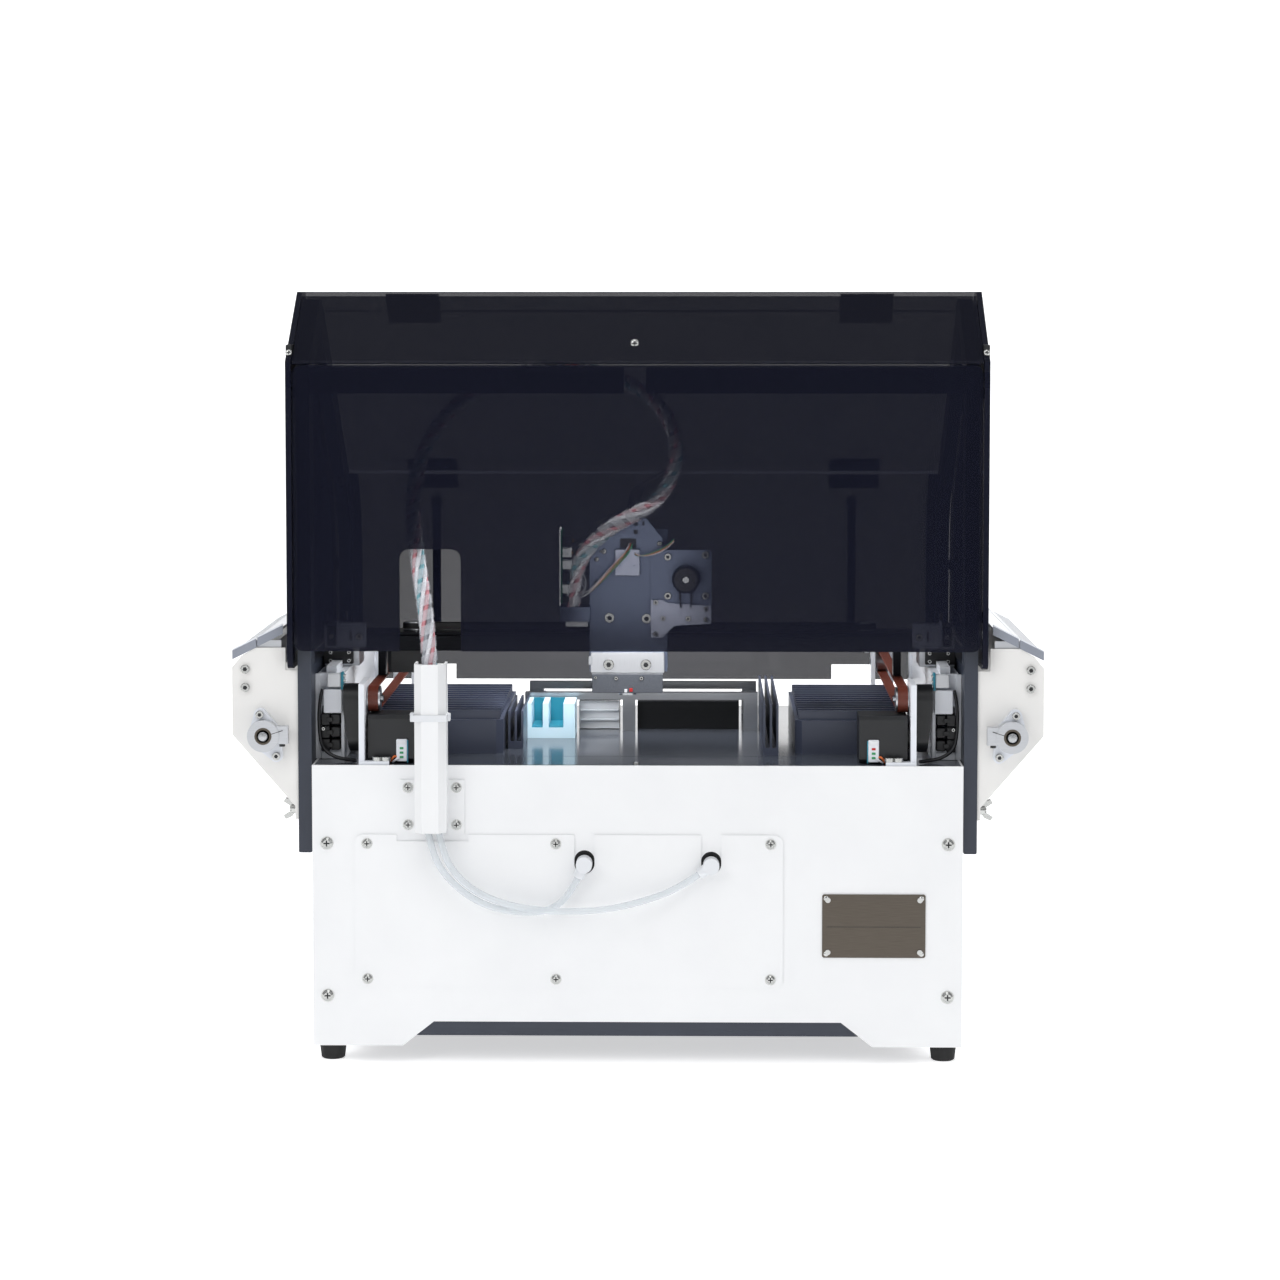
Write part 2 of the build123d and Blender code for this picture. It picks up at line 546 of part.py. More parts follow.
MOTOR_W = 42.3
MOTOR_X = (198.0, 241.0)
MOTOR_Z = 291.0
BRACKET_X = (243.4, 248.4)
RUNNING = 0.04                    # radial running clearance of shafts
SMALL_PULLEY_R, BIG_PULLEY_R = 5.0, 9.0
REDUCTION_X = (251.0, 256.0)
with BuildPart() as y_motors:
    for side in (-1, 1):
        block(mirrored(MOTOR_X[0], MOTOR_X[1], side), deep(DRIVE_D - MOTOR_W / 2, DRIVE_D + MOTOR_W / 2),
              (MOTOR_Z - MOTOR_W / 2, MOTOR_Z + MOTOR_W / 2))
    chamfer(y_motors.edges().filter_by(Axis.X), 3.5)
    for side in (-1, 1):
        rod_x(depth(DRIVE_D), MOTOR_Z, mirrored(MOTOR_X[1], BRACKET_X[0], side), 11)
        rod_x(depth(DRIVE_D), MOTOR_Z, mirrored(MOTOR_X[1], REDUCTION_X[1] + 1, side), 2.5)
        rod_x(depth(DRIVE_D), MOTOR_Z, mirrored(*REDUCTION_X, side), SMALL_PULLEY_R)
finish(y_motors.part, "y_motors")

SHAFT_R = 3.0
IDLER_PLATE = (226.4, 230.4)
with BuildPart() as belt_brackets:
    for side in (-1, 1):
        block(mirrored(*BRACKET_X, side), deep(4, 58), (TABLE_Z, 341))
        block(mirrored(BRACKET_X[0] - 22, BRACKET_X[0], side), deep(2.5, 11.5), (TABLE_Z, TABLE_Z + 3))
        block(mirrored(BRACKET_X[0] - 1, BRACKET_X[1], side), deep(2.5, 11.5), (TABLE_Z, TABLE_Z + 3))
        rod_x(depth(DRIVE_D), MOTOR_Z, mirrored(BRACKET_X[0] - 1, BRACKET_X[1] + 1, side), 8, Mode.SUBTRACT)
        rod_x(depth(DRIVE_D), BELT_Z, mirrored(BRACKET_X[0] - 1, BRACKET_X[1] + 1, side), SHAFT_R + RUNNING,
              Mode.SUBTRACT)
        for plate in (BRACKET_X, IDLER_PLATE):
            block(mirrored(*plate, side), deep(IDLER_D - 9, IDLER_D + 9), (TABLE_Z, BELT_Z + 9))
            rod_x(depth(IDLER_D), BELT_Z, mirrored(plate[0] - 1, plate[1] + 1, side), SHAFT_R + RUNNING,
                  Mode.SUBTRACT)
        block(mirrored(IDLER_PLATE[0], BRACKET_X[1], side), deep(IDLER_D - 9, IDLER_D + 9), (TABLE_Z, TABLE_Z + 4))
finish(belt_brackets.part, "belt_brackets")

GUARD_WALL = 1.5


def guard_solid(side, margin):
    """Tapered belt guard as a solid, drawn in by margin: wide at the driven pulley, narrow at the motor."""
    low_x, high_z = 248.6 - 2 * margin, BELT_Z + 13.5 - margin
    wedge = [(low_x, 277 + margin), (259 - margin, 277 + margin), (264 - margin, 316), (264 - margin, high_z),
             (low_x, high_z)]
    front = outline_face([(side * x, z) for x, z in wedge], Plane.XZ.offset(-depth(DRIVE_D - 16)))
    with BuildSketch(Plane.YZ.offset(side * 230), mode=Mode.PRIVATE) as profile:
        for z in (MOTOR_Z, BELT_Z):
            with Locations((depth(DRIVE_D), z)):
                Circle(13.5 - margin)
        with Locations((depth(DRIVE_D), (MOTOR_Z + BELT_Z) / 2)):
            Rectangle(2 * (13.5 - margin), BELT_Z - MOTOR_Z)
    return extrude(front, amount=-32) & extrude(profile.sketch, amount=40, both=True)


guards = Part() + [guard_solid(side, 0) - guard_solid(side, GUARD_WALL) for side in (-1, 1)]
with BuildPart() as belt_guards:
    add(guards)
finish(belt_guards.part, "belt_guards")


def belt_loop(plane, centres, radii, width):
    """Flat belt round two pulleys, drawn in a plane and widened along its normal; 0.3 clear of the pulleys."""
    faces = []
    for extra in (0.3 + BELT_T, 0.3):
        with BuildSketch(plane, mode=Mode.PRIVATE) as loop:
            for centre, radius in zip(centres, radii):
                with Locations(centre):
                    Circle(radius + extra)
            make_hull()
        faces.append(loop.sketch)
    return extrude(faces[0] - faces[1], amount=width)


with BuildPart() as y_belts:
    for side in (-1, 1):
        plane = Plane.YZ.offset(min(side * (BELT_X - BELT_W / 2), side * (BELT_X + BELT_W / 2)))
        add(belt_loop(plane, ((depth(DRIVE_D), BELT_Z), (depth(IDLER_D), BELT_Z)), (Y_PULLEY_R, Y_PULLEY_R), BELT_W))
        plane = Plane.YZ.offset(min(side * (REDUCTION_X[0] + 0.5), side * (REDUCTION_X[1] - 0.5)))
        add(belt_loop(plane, ((depth(DRIVE_D), MOTOR_Z), (depth(DRIVE_D), BELT_Z)), (SMALL_PULLEY_R, BIG_PULLEY_R),
                      REDUCTION_X[1] - REDUCTION_X[0] - 1))
finish(y_belts.part, "y_belts")


def belt_pulley_x(side, d):
    """Y belt pulley with its two flanges."""
    rod_x(depth(d), BELT_Z, mirrored(231.2, 242.9, side), Y_PULLEY_R)
    rod_x(depth(d), BELT_Z, mirrored(231.2, 232.6, side), Y_PULLEY_R + 1.2)
    rod_x(depth(d), BELT_Z, mirrored(242.4, 242.9, side), Y_PULLEY_R + 1.2)


with BuildPart() as y_drive_pulleys:
    for side in (-1, 1):
        belt_pulley_x(side, DRIVE_D)
        rod_x(depth(DRIVE_D), BELT_Z, mirrored(229, REDUCTION_X[1] + 2, side), SHAFT_R)
        rod_x(depth(DRIVE_D), BELT_Z, mirrored(REDUCTION_X[0] - 0.6, REDUCTION_X[1] + 0.6, side), BIG_PULLEY_R)
finish(y_drive_pulleys.part, "y_drive_pulleys")

with BuildPart() as y_idler_pulleys:
    for side in (-1, 1):
        belt_pulley_x(side, IDLER_D)
        rod_x(depth(IDLER_D), BELT_Z, mirrored(225, 250, side), SHAFT_R)
finish(y_idler_pulleys.part, "y_idler_pulleys")

# ---------------------------------------------------------------- gantry
END_D = (97.0, 139.0)
X_GUIDE = ((96.0, 100.0), (364.0, 375.0))
X_BELT_D = (BEAM_D[0] + BEAM_D[1]) / 2
PULLEY_SHAFT_R = 2.5
with BuildPart() as x_beam:
    block((-BEAM_X, BEAM_X), deep(*BEAM_D), BEAM_Z)
    for side in (-1, 1):
        block(mirrored(BELT_X - 3.5, BELT_X + 3.5, side), deep(112, 128), (BELT_Z + 12.2, BEAM_Z[0]))
        rod_z(side * X_PULLEY_X, depth(X_BELT_D), (BEAM_Z[0] - 1, BEAM_Z[1] + 1), PULLEY_SHAFT_R + RUNNING,
              Mode.SUBTRACT)
    block((-236, 236), deep(*X_GUIDE[0]), X_GUIDE[1])
finish(x_beam.part, "x_beam")

with BuildPart() as gantry_ends:
    for side in (-1, 1):
        block(mirrored(BEAM_X, 289, side), deep(*END_D), (RAIL_TOP + 0.6, 384))
        block(mirrored(RAIL_X - GUIDE_W / 2 - 0.3, RAIL_X + GUIDE_W / 2 + 0.3, side),
              deep(END_D[0] - 1, END_D[1] + 1), (RAIL_TOP, RAIL_TOP + GUIDE_H + 0.3), Mode.SUBTRACT)
finish(gantry_ends.part, "gantry_ends")

with BuildPart() as x_motor:
    block((-X_PULLEY_X - MOTOR_W / 2, -X_PULLEY_X + MOTOR_W / 2),
          deep(X_BELT_D - MOTOR_W / 2, X_BELT_D + MOTOR_W / 2), (341, BEAM_Z[0]))
    chamfer(x_motor.edges().filter_by(Axis.Z), 3.5)
    rod_z(-X_PULLEY_X, depth(X_BELT_D), (348, BEAM_Z[0] + 1), PULLEY_SHAFT_R + RUNNING, Mode.SUBTRACT)
finish(x_motor.part, "x_motor")

with BuildPart() as x_belt:
    add(belt_loop(Plane.XY.offset(X_BELT_Z[0]), ((-X_PULLEY_X, depth(X_BELT_D)), (X_PULLEY_X, depth(X_BELT_D))),
                  (X_PULLEY_R, X_PULLEY_R), X_BELT_Z[1] - X_BELT_Z[0]))
finish(x_belt.part, "x_belt")

for pulley_name, pulley_x, shaft_low in (("x_drive_pulley", -X_PULLEY_X, 349.0), ("x_idler_pulley", X_PULLEY_X, 358.0)):
    with BuildPart() as x_pulley:
        rod_z(pulley_x, depth(X_BELT_D), (shaft_low, X_BELT_Z[1] + 1), PULLEY_SHAFT_R)
        rod_z(pulley_x, depth(X_BELT_D), (X_BELT_Z[0] - 1, X_BELT_Z[1] + 1), X_PULLEY_R)
        rod_z(pulley_x, depth(X_BELT_D), (X_BELT_Z[0] - 1.4, X_BELT_Z[0] - 0.5), X_PULLEY_R + 1.2)
    finish(x_pulley.part, pulley_name)

# ---------------------------------------------------------------- placement head
HEAD_X = (-44.8, 26.0)
HEAD_Z = (344.0, 484.0)
BACK_D, FAR_D = (84.0, 88.0), (146.0, 150.0)
NOZZLE_GUIDE = (3.5, 153.0)
DRIVE_PLATE_D = (80.0, 84.0)
with BuildPart() as head_plate:
    back_outline = [(HEAD_X[0], HEAD_Z[0]), (HEAD_X[1], HEAD_Z[0]), (HEAD_X[1], 403.5), (21.5, 403.5), (21.5, 466),
                    (7, HEAD_Z[1]), (-27, HEAD_Z[1]), (HEAD_X[0], 464)]
    extrude(outline_face(back_outline, Plane.XZ.offset(-depth(BACK_D[0]))), amount=-4)
    block((HEAD_X[0], 21.5), deep(BACK_D[0], FAR_D[1]), (391, 397))
    block((HEAD_X[0], HEAD_X[1]), deep(*FAR_D), (340, 470))
    block((-35, 16), deep(BACK_D[1] - 1, 99.7), (361.6, 377.4))
    block((-36, 17), deep(X_GUIDE[0][0] - 0.3, 101), (X_GUIDE[1][0] - 0.3, X_GUIDE[1][1] + 0.3), Mode.SUBTRACT)
    block((-20, 0), deep(108, 116), (X_BELT_Z[1] + 0.4, 392))
    block((-71, HEAD_X[0] + 1), deep(61, BACK_D[1]), (392, 405))
    for x in NOZZLE_X:
        block((x - NOZZLE_GUIDE[0], x + NOZZLE_GUIDE[0]), deep(FAR_D[1] - 1, NOZZLE_GUIDE[1]), (345, 465))
    with BuildSketch(Plane.XZ.offset(-depth(DRIVE_PLATE_D[0]))):
        with Locations(((11 + 66.5) / 2, (401.5 + 455.5) / 2)):
            RectangleRounded(66.5 - 11, 455.5 - 401.5, 4)
        with Locations(Z_PULLEY):
            Circle(PULLEY_SHAFT_R + RUNNING, mode=Mode.SUBTRACT)
    extrude(amount=-4)
    tie_outline = [(11, 375.6), (21.3, 375.6), (33, 386.6), (66.2, 388.4), (66.2, 405), (26, 407.7), (22, 410.4),
                   (11, 410.4)]
    extrude(outline_face(tie_outline, Plane.XZ.offset(-depth(DRIVE_PLATE_D[0]))), amount=3)
finish(head_plate.part, "head_plate")

with BuildPart() as z_motor:
    block((Z_PULLEY[0] - MOTOR_W / 2, Z_PULLEY[0] + MOTOR_W / 2), deep(DRIVE_PLATE_D[1], DRIVE_PLATE_D[1] + 32),
          (Z_PULLEY[1] - MOTOR_W / 2, Z_PULLEY[1] + MOTOR_W / 2))
    chamfer(z_motor.edges().filter_by(Axis.Y), 3.5)
    rod_y(*Z_PULLEY, deep(DRIVE_PLATE_D[1] - 1, DRIVE_PLATE_D[1] + 12), PULLEY_SHAFT_R + RUNNING, Mode.SUBTRACT)
finish(z_motor.part, "z_motor")

with BuildPart() as z_pulley:
    rod_y(*Z_PULLEY, deep(60, 78), Z_PULLEY_R)
    rod_y(*Z_PULLEY, deep(78, DRIVE_PLATE_D[1] + 10), PULLEY_SHAFT_R)
finish(z_pulley.part, "z_pulley")

FOOT_X = (-43.0, 23.0)
with BuildPart() as head_foot:
    block(FOOT_X, deep(70, BACK_D[0]), (344, 363))
    block((FOOT_X[0] + 1, FOOT_X[1] - 1), deep(68, 92), (326, 343.8))
    rod_z(-10, depth(80), (323.5, 326.5), 8)
finish(head_foot.part, "head_foot")

SPINDLE_R = 4.0
for index, name in enumerate(("a", "b")):
    x = NOZZLE_X[index]
    with BuildPart() as carrier:
        block((x - 14.5, x + 14.5), deep(150.6, 176), (374, 432))
        block((x - NOZZLE_GUIDE[0] - 0.3, x + NOZZLE_GUIDE[0] + 0.3), deep(149, NOZZLE_GUIDE[1] + 0.3), (370, 440),
              Mode.SUBTRACT)
        block((x - 10, x + 10), deep(NOZZLE_D - 10, NOZZLE_D + 10), (432, 455))
        rod_z(x, depth(NOZZLE_D), (370, 460), SPINDLE_R + RUNNING, Mode.SUBTRACT)
    finish(carrier.part, f"nozzle_carrier_{name}")
    with BuildPart() as nozzle:
        rod_z(x, depth(NOZZLE_D), (350, 462), SPINDLE_R)
        rod_z(x, depth(NOZZLE_D), (345, 373.6), 6)
        rod_z(x, depth(NOZZLE_D), (455.4, 460), 6)
        with Locations((x, depth(NOZZLE_D), NOZZLE_TIP)):
            Cone(1.0, 4.5, 14, align=(Align.CENTER, Align.CENTER, Align.MIN))
        rod_z(x, depth(NOZZLE_D), (NOZZLE_TIP + 14, 346), 4.5)
    finish(nozzle.part, f"nozzle_{name}")

# ---------------------------------------------------------------- work table
BANK_D = (77.0, 300.0)
BANK_TOP = 300.0
LANE_TOP = 308.0
BANKS = ((-246.0, -124.0), (143.0, 246.0))
FENCES = ((-121.0, -107.0, 110.0, 236.0, 304.0), (113.5, 127.5, 68.0, 300.0, 316.0))   # X, depths, top
with BuildPart() as feeder_banks:
    for low, high in BANKS:
        block((low, high), deep(*BANK_D), (TABLE_Z, BANK_TOP))
        for lane in range(13):
            start = BANK_D[0] + 6 + 17 * lane
            block((low + 3, high - 3), deep(start, start + 5), (BANK_TOP, LANE_TOP))
    chamfer(feeder_banks.edges().filter_by(Axis.Z).group_by(Axis.Y)[0].sort_by(Axis.X)[1:3], 6)
    for low, high, near, far, top in FENCES:
        block((low, high), deep(near, far), (TABLE_Z, TABLE_Z + 7))
        for x in (low, (low + high) / 2 - 1, high - 2):
            block((x, x + 2), deep(near, far), (TABLE_Z + 7, top))
finish(feeder_banks.part, "feeder_banks")

with BuildPart() as parts_tray:
    block((-107, -62), deep(185, 236), (TABLE_Z, 302))
    for low, high in ((-103, -92.5), (-87, -73)):
        block((low, high), deep(184, 232), (279, 303), Mode.SUBTRACT)
finish(parts_tray.part, "parts_tray")

with BuildPart() as table_boxes:
    block((-4, 94), deep(254, 318), (TABLE_Z, 296))
    rod_z(45, depth(286), (290, 297), 22, Mode.SUBTRACT)
    rod_z(45, depth(286), (290, 294), 20)
    block((-60, -22), deep(254, 318), (TABLE_Z, 296))
    block((-57, -25), deep(257, 315), (TABLE_Z + 3, 297), Mode.SUBTRACT)
finish(table_boxes.part, "table_boxes")

CLAMP_X = 112.0
CLAMP_Z = (299.0, 306.0)
with BuildPart() as board_clamp_frame:
    block((-CLAMP_X, CLAMP_X), deep(*RAIL_FIXED_D), CLAMP_Z)
    for low, high in ((-CLAMP_X, -98), (-18, -6), (98, CLAMP_X)):
        block((low, high), deep(*RAIL_FIXED_D), (TABLE_Z, CLAMP_Z[0]))
    for side in (-1, 1):
        rod_y(side * ROD_X, ROD_Z, deep(RAIL_FIXED_D[1], 372), ROD_R)
        block(mirrored(98, CLAMP_X, side), deep(372, 378), (TABLE_Z, ROD_Z + 7))
finish(board_clamp_frame.part, "board_clamp_frame")

with BuildPart() as board_clamp_slider:
    block((-CLAMP_X, CLAMP_X), deep(*RAIL_MOVING_D), CLAMP_Z)
    for side in (-1, 1):
        block(mirrored(98, CLAMP_X, side), deep(RAIL_MOVING_D[0] - 2, RAIL_MOVING_D[1] + 2), (274, CLAMP_Z[0]))
        rod_y(side * ROD_X, ROD_Z, deep(320, 350), ROD_R + RUNNING, Mode.SUBTRACT)
finish(board_clamp_slider.part, "board_clamp_slider")

# ---------------------------------------------------------------- film take-up wings
WING_T = 3.0
WING_OUTLINE = [(303.2, 227), (303.2, 353), (314, 353), (314, 373), (341, 373), (353.5, 365.5), (WING_X, 355.5),
                (WING_X, 294.7)]
with BuildPart() as wing_frames:
    for side in (-1, 1):
        for d in (WING_D[0], WING_D[1]):
            plane = Plane.XZ.offset(-depth(d))
            extrude(outline_face([(side * x, z) for x, z in WING_OUTLINE], plane), amount=-WING_T)
            rod_y(side * FILM_X, FILM_Z, deep(d - 1, d + WING_T + 1), 8, Mode.SUBTRACT)
        block(mirrored(346, 357, side), deep(WING_D[0] + 1, WING_D[1] + 1), (331, 359))
        block(mirrored(303.2, 306.2, side), deep(WING_D[0], WING_D[1] + WING_T), (219, 240))
    for side, d in WING_NUTS:
        rod_x(depth(d), NUT_Z, mirrored(303, 307, side), 2.7, Mode.SUBTRACT)
finish(wing_frames.part, "wing_frames")

COMB_SLOPE = 0.5
with BuildPart() as tape_guides:
    for side in (-1, 1):
        for low, high, base in ((340.0, 361.5, 366.5), (316.0, 339.0, 378.0)):
            strip = [(side * high, base), (side * low, base + COMB_SLOPE * (high - low)),
                     (side * low, base + 2.5 + COMB_SLOPE * (high - low)), (side * high, base + 2.5)]
            extrude(outline_face(strip, Plane.XZ.offset(-depth(WING_D[0] + WING_T + 0.2))),
                    amount=-(WING_D[1] - WING_D[0] - WING_T - 0.4))
        for d in (WING_D[0] + WING_T, WING_D[1] - 3):
            block(mirrored(318, 342, side), deep(d, d + 3), (358, 379.5))
        for slot in range(18):
            start = 26 + 17 * slot
            block(mirrored(345, 363, side), deep(start, start + 6), (360, 385), Mode.SUBTRACT)
finish(tape_guides.part, "tape_guides")

BEARING_EARS = ((4.0, 18.3), (-10.5, -19.0))
with BuildPart() as wing_bearings:
    for side in (-1, 1):
        for near in (WING_D[0] - 6, WING_D[1] + WING_T):
            with BuildSketch(Plane.XZ.offset(-depth(near))):
                with Locations((side * FILM_X, FILM_Z)):
                    Circle(14)
                with Locations(*[(side * (FILM_X + dx), FILM_Z + dz) for dx, dz in BEARING_EARS]):
                    Circle(5.5)
                make_hull()
            extrude(amount=-6)
            rod_y(side * FILM_X, FILM_Z, deep(near - 1, near + 7), SPINDLE_R + RUNNING, Mode.SUBTRACT)
finish(wing_bearings.part, "wing_bearings")

for side, name in ((-1, "left"), (1, "right")):
    with BuildPart() as roller:
        rod_y(side * FILM_X, FILM_Z, deep(-9, 343), SPINDLE_R)
        rod_y(side * FILM_X, FILM_Z, deep(24, 316), 13)
        rod_y(side * FILM_X, FILM_Z, deep(-7, 3.5), 14.3)
        block(mirrored(FILM_X - 22, FILM_X - 10, side), deep(-6, 2.5), (FILM_Z - 7, FILM_Z + 9))
    finish(roller.part, f"film_roller_{name}")

# ---------------------------------------------------------------- controls
ROCKER_D, ROCKER_Z = INLET_D + 12, INLET_Z
ROCKER_AXIS_X = -286.0
with BuildPart() as control_bodies:
    block((-HALF - 2, -HALF + 26), deep(INLET_D - 23.5, INLET_D + 23.5), (INLET_Z - 13.5, INLET_Z + 13.5))
    block((-HALF - 3, -HALF + 14), deep(INLET_D - 20, INLET_D + 1), (INLET_Z - 9, INLET_Z + 9), Mode.SUBTRACT)
    block((-HALF - 3, -HALF + 14), deep(ROCKER_D - 7, ROCKER_D + 7), (ROCKER_Z - 11, ROCKER_Z + 11), Mode.SUBTRACT)
    rod_y(ROCKER_AXIS_X, ROCKER_Z, deep(ROCKER_D - 9, ROCKER_D + 9), 1.5 + RUNNING, Mode.SUBTRACT)
    rod_y(ESTOP_X, ESTOP_Z, deep(BODY_D - 22, BODY_D), 11)
    rod_y(ESTOP_X, ESTOP_Z, deep(BODY_D, BODY_D + 6), 16)
    rod_y(ESTOP_X, ESTOP_Z, deep(BODY_D - 16, BODY_D + 7), 6.5, Mode.SUBTRACT)
    for d in (INLET_D - 14, INLET_D - 9.5, INLET_D - 5):
        block((-HALF + 3, -HALF + 15), deep(d - 1, d + 1), (INLET_Z - 3, INLET_Z + 2))
finish(control_bodies.part, "control_bodies")

with BuildPart() as power_rocker:
    block((-HALF - 2.5, -HALF + 5), deep(ROCKER_D - 6, ROCKER_D + 6), (ROCKER_Z - 9.5, ROCKER_Z + 9.5))
    rod_y(ROCKER_AXIS_X, ROCKER_Z, deep(ROCKER_D - 8.5, ROCKER_D + 8.5), 1.5)
finish(power_rocker.part, "power_rocker")

with BuildPart() as estop_button:
    rod_y(ESTOP_X, ESTOP_Z, deep(BODY_D - 8, BODY_D + 12), 6)
    rod_y(ESTOP_X, ESTOP_Z, deep(BODY_D + 11, BODY_D + 22), 19)
    fillet(estop_button.edges().group_by(Axis.Y)[-1], 3)
finish(estop_button.part, "estop_button")

# ---------------------------------------------------------------- inside the cabinet
FLOOR = TRAY_Z + SHEET
with BuildPart() as power_supply:
    block((150, 250), deep(150, 340), (FLOOR, FLOOR + 42))
    for slot in range(8):
        block((160, 240), deep(172 + 16 * slot, 180 + 16 * slot), (FLOOR + 38, FLOOR + 43), Mode.SUBTRACT)
finish(power_supply.part, "power_supply")

with BuildPart() as control_board:
    block((-130, 90), deep(170, 320), (FLOOR + 12, FLOOR + 14))
    for x in (-124, 84):
        for d in (176, 314):
            rod_z(x, depth(d), (FLOOR, FLOOR + 12), 4)
    for column in range(5):
        block((-110 + 38 * column, -86 + 38 * column), deep(200, 224), (FLOOR + 14, FLOOR + 26))
    block((-110, 70), deep(290, 300), (FLOOR + 14, FLOOR + 26))
finish(control_board.part, "control_board")

PUMP_Z = 182.0
with BuildPart() as vacuum_pumps:
    for x, _, _ in FITTINGS:
        block((x - 14, x + 14), deep(4, 20), (PUMP_Z - 14, PUMP_Z + 14))
        rod_y(x, PUMP_Z, deep(20, 78), 21)
        block((x - 18, x + 18), deep(2, 4), (PUMP_Z + 12, PUMP_Z + 24))
finish(vacuum_pumps.part, "vacuum_pumps")
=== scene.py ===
# %% [markdown]
# # A desktop pick-and-place machine, finished in Blender
# The solids of the machine arrive packed, with every body and joint already named. This notebook gives
# them their finishes and adds what is too small or too soft for the solid model: wiring, boards, screws
# and labels.

# %% Load the machine
import math

import bmesh
import bpy
import numpy as np
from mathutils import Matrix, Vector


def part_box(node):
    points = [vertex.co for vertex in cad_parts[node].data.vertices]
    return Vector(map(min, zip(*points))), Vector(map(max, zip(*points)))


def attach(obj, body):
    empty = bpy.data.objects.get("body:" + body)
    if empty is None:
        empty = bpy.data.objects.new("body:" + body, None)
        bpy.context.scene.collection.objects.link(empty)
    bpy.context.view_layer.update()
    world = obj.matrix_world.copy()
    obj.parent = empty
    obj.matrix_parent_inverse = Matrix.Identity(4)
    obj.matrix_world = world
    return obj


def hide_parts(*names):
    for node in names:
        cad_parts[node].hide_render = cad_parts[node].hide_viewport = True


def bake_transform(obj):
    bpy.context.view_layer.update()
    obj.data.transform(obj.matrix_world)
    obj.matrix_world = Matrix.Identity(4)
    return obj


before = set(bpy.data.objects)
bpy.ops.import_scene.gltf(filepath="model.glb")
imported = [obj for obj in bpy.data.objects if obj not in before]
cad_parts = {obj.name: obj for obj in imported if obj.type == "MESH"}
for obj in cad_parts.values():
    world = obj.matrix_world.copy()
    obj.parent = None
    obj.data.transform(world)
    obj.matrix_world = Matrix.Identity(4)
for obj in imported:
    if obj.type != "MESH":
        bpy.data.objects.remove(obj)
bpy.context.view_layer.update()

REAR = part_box("rear_panel")[0].y          # outer face of the rear panel

# %% [markdown]
# The machine was measured in millimetres from its rear panel. `depth` turns such a measure into a Y in
# metres, so every size below can be read as a maker would write it.

# %% Millimetres to the frame
MM = 0.001


def depth(d):
    """Y of a plane d millimetres in front of the rear panel's outer face."""
    return REAR + d * MM


def spot(x, d, z):
    """Point from X, depth and Z in millimetres."""
    return (x * MM, depth(d), z * MM)


# %% [markdown]
# A few measures come back in many pieces, so they have names. All are in millimetres.

# %% Measures of the machine
TABLE_TOP = 269.0                                   # Z of the work table
RISER_X = -182.5                                    # middle of the cable riser
FILM_X, FILM_Z = 332.5, 295.5                       # axis of a film roller, X taken off the middle
LIFT_X, LIFT_Z = 43.0, 430.0                        # axis of the lift pulley
BACK_PLATE, DRIVE_PLATE, TIE_PLATE = 84.0, 80.0, 77.0   # depths of the head plates' rear faces
print("table at", TABLE_TOP, "mm, film rollers at", FILM_X, "mm, lift pulley at", (LIFT_X, LIFT_Z), "mm")

# %% [markdown]
# A long lens from almost three metres keeps the cabinet square, as a catalogue picture does. The camera
# stands a little to the right and looks four degrees down, and the small shift sets the machine in the
# frame.

# %% Camera
lens = bpy.data.cameras.new("catalogue_lens")
lens.sensor_width = 36.0
lens.lens = 91.92
lens.shift_y = -0.0836
lens.clip_end = 50.0
camera = bpy.data.objects.new("camera", lens)
camera.location = (0.0499, depth(-2886), 0.6785)
camera.rotation_euler = (math.radians(86.0), 0.0, math.radians(0.94))
bpy.context.scene.collection.objects.link(camera)
bpy.context.scene.camera = camera
bpy.context.scene.view_settings.view_transform = "Standard"
print("camera at", [round(c, 3) for c in camera.location])

# %% [markdown]
# White paper swept up behind the machine gives a horizon with no line. Its section is a quarter circle
# between a flat floor and an upright wall.

# %% Floor and lights
def paper_sweep(width, front, back, radius, height):
    """Floor, then y = back - r + r sin t and z = r - r cos t for t in 0..90 degrees, then wall."""
    turn = np.linspace(0, math.pi / 2, 24)
    y = np.concatenate([[front], back - radius + radius * np.sin(turn), [back]])
    z = np.concatenate([[0.0], radius - radius * np.cos(turn), [height]])
    x = np.array([-width, width])
    grid = np.stack(np.broadcast_arrays(x[:, None], y[None, :], z[None, :]), axis=-1)
    count = len(y)
    low = np.arange(count - 1)
    quads = np.stack([low, low + count, low + count + 1, low + 1], axis=-1)
    mesh = bpy.data.meshes.new("paper_sweep")
    mesh.from_pydata(grid.reshape(-1, 3).tolist(), [], quads.tolist())
    mesh.polygons.foreach_set("use_smooth", np.ones(len(mesh.polygons), dtype=bool))
    sweep = bpy.data.objects.new("paper_sweep", mesh)
    bpy.context.scene.collection.objects.link(sweep)
    return sweep


floor = paper_sweep(6.0, -4.0, 3.2, 1.0, 4.0)


def soft_light(name, place, target, size, power):
    """Square area light aimed from place at target."""
    light = bpy.data.lights.new(name, "AREA")
    light.shape = "SQUARE"
    light.size = size
    light.energy = power
    holder = bpy.data.objects.new(name, light)
    holder.location = place
    aim = np.array(target) - np.array(place)
    flat = math.hypot(aim[0], aim[1])
    holder.rotation_euler = (math.atan2(flat, -aim[2]), 0.0, math.atan2(-aim[0], aim[1]))
    bpy.context.scene.collection.objects.link(holder)
    return holder


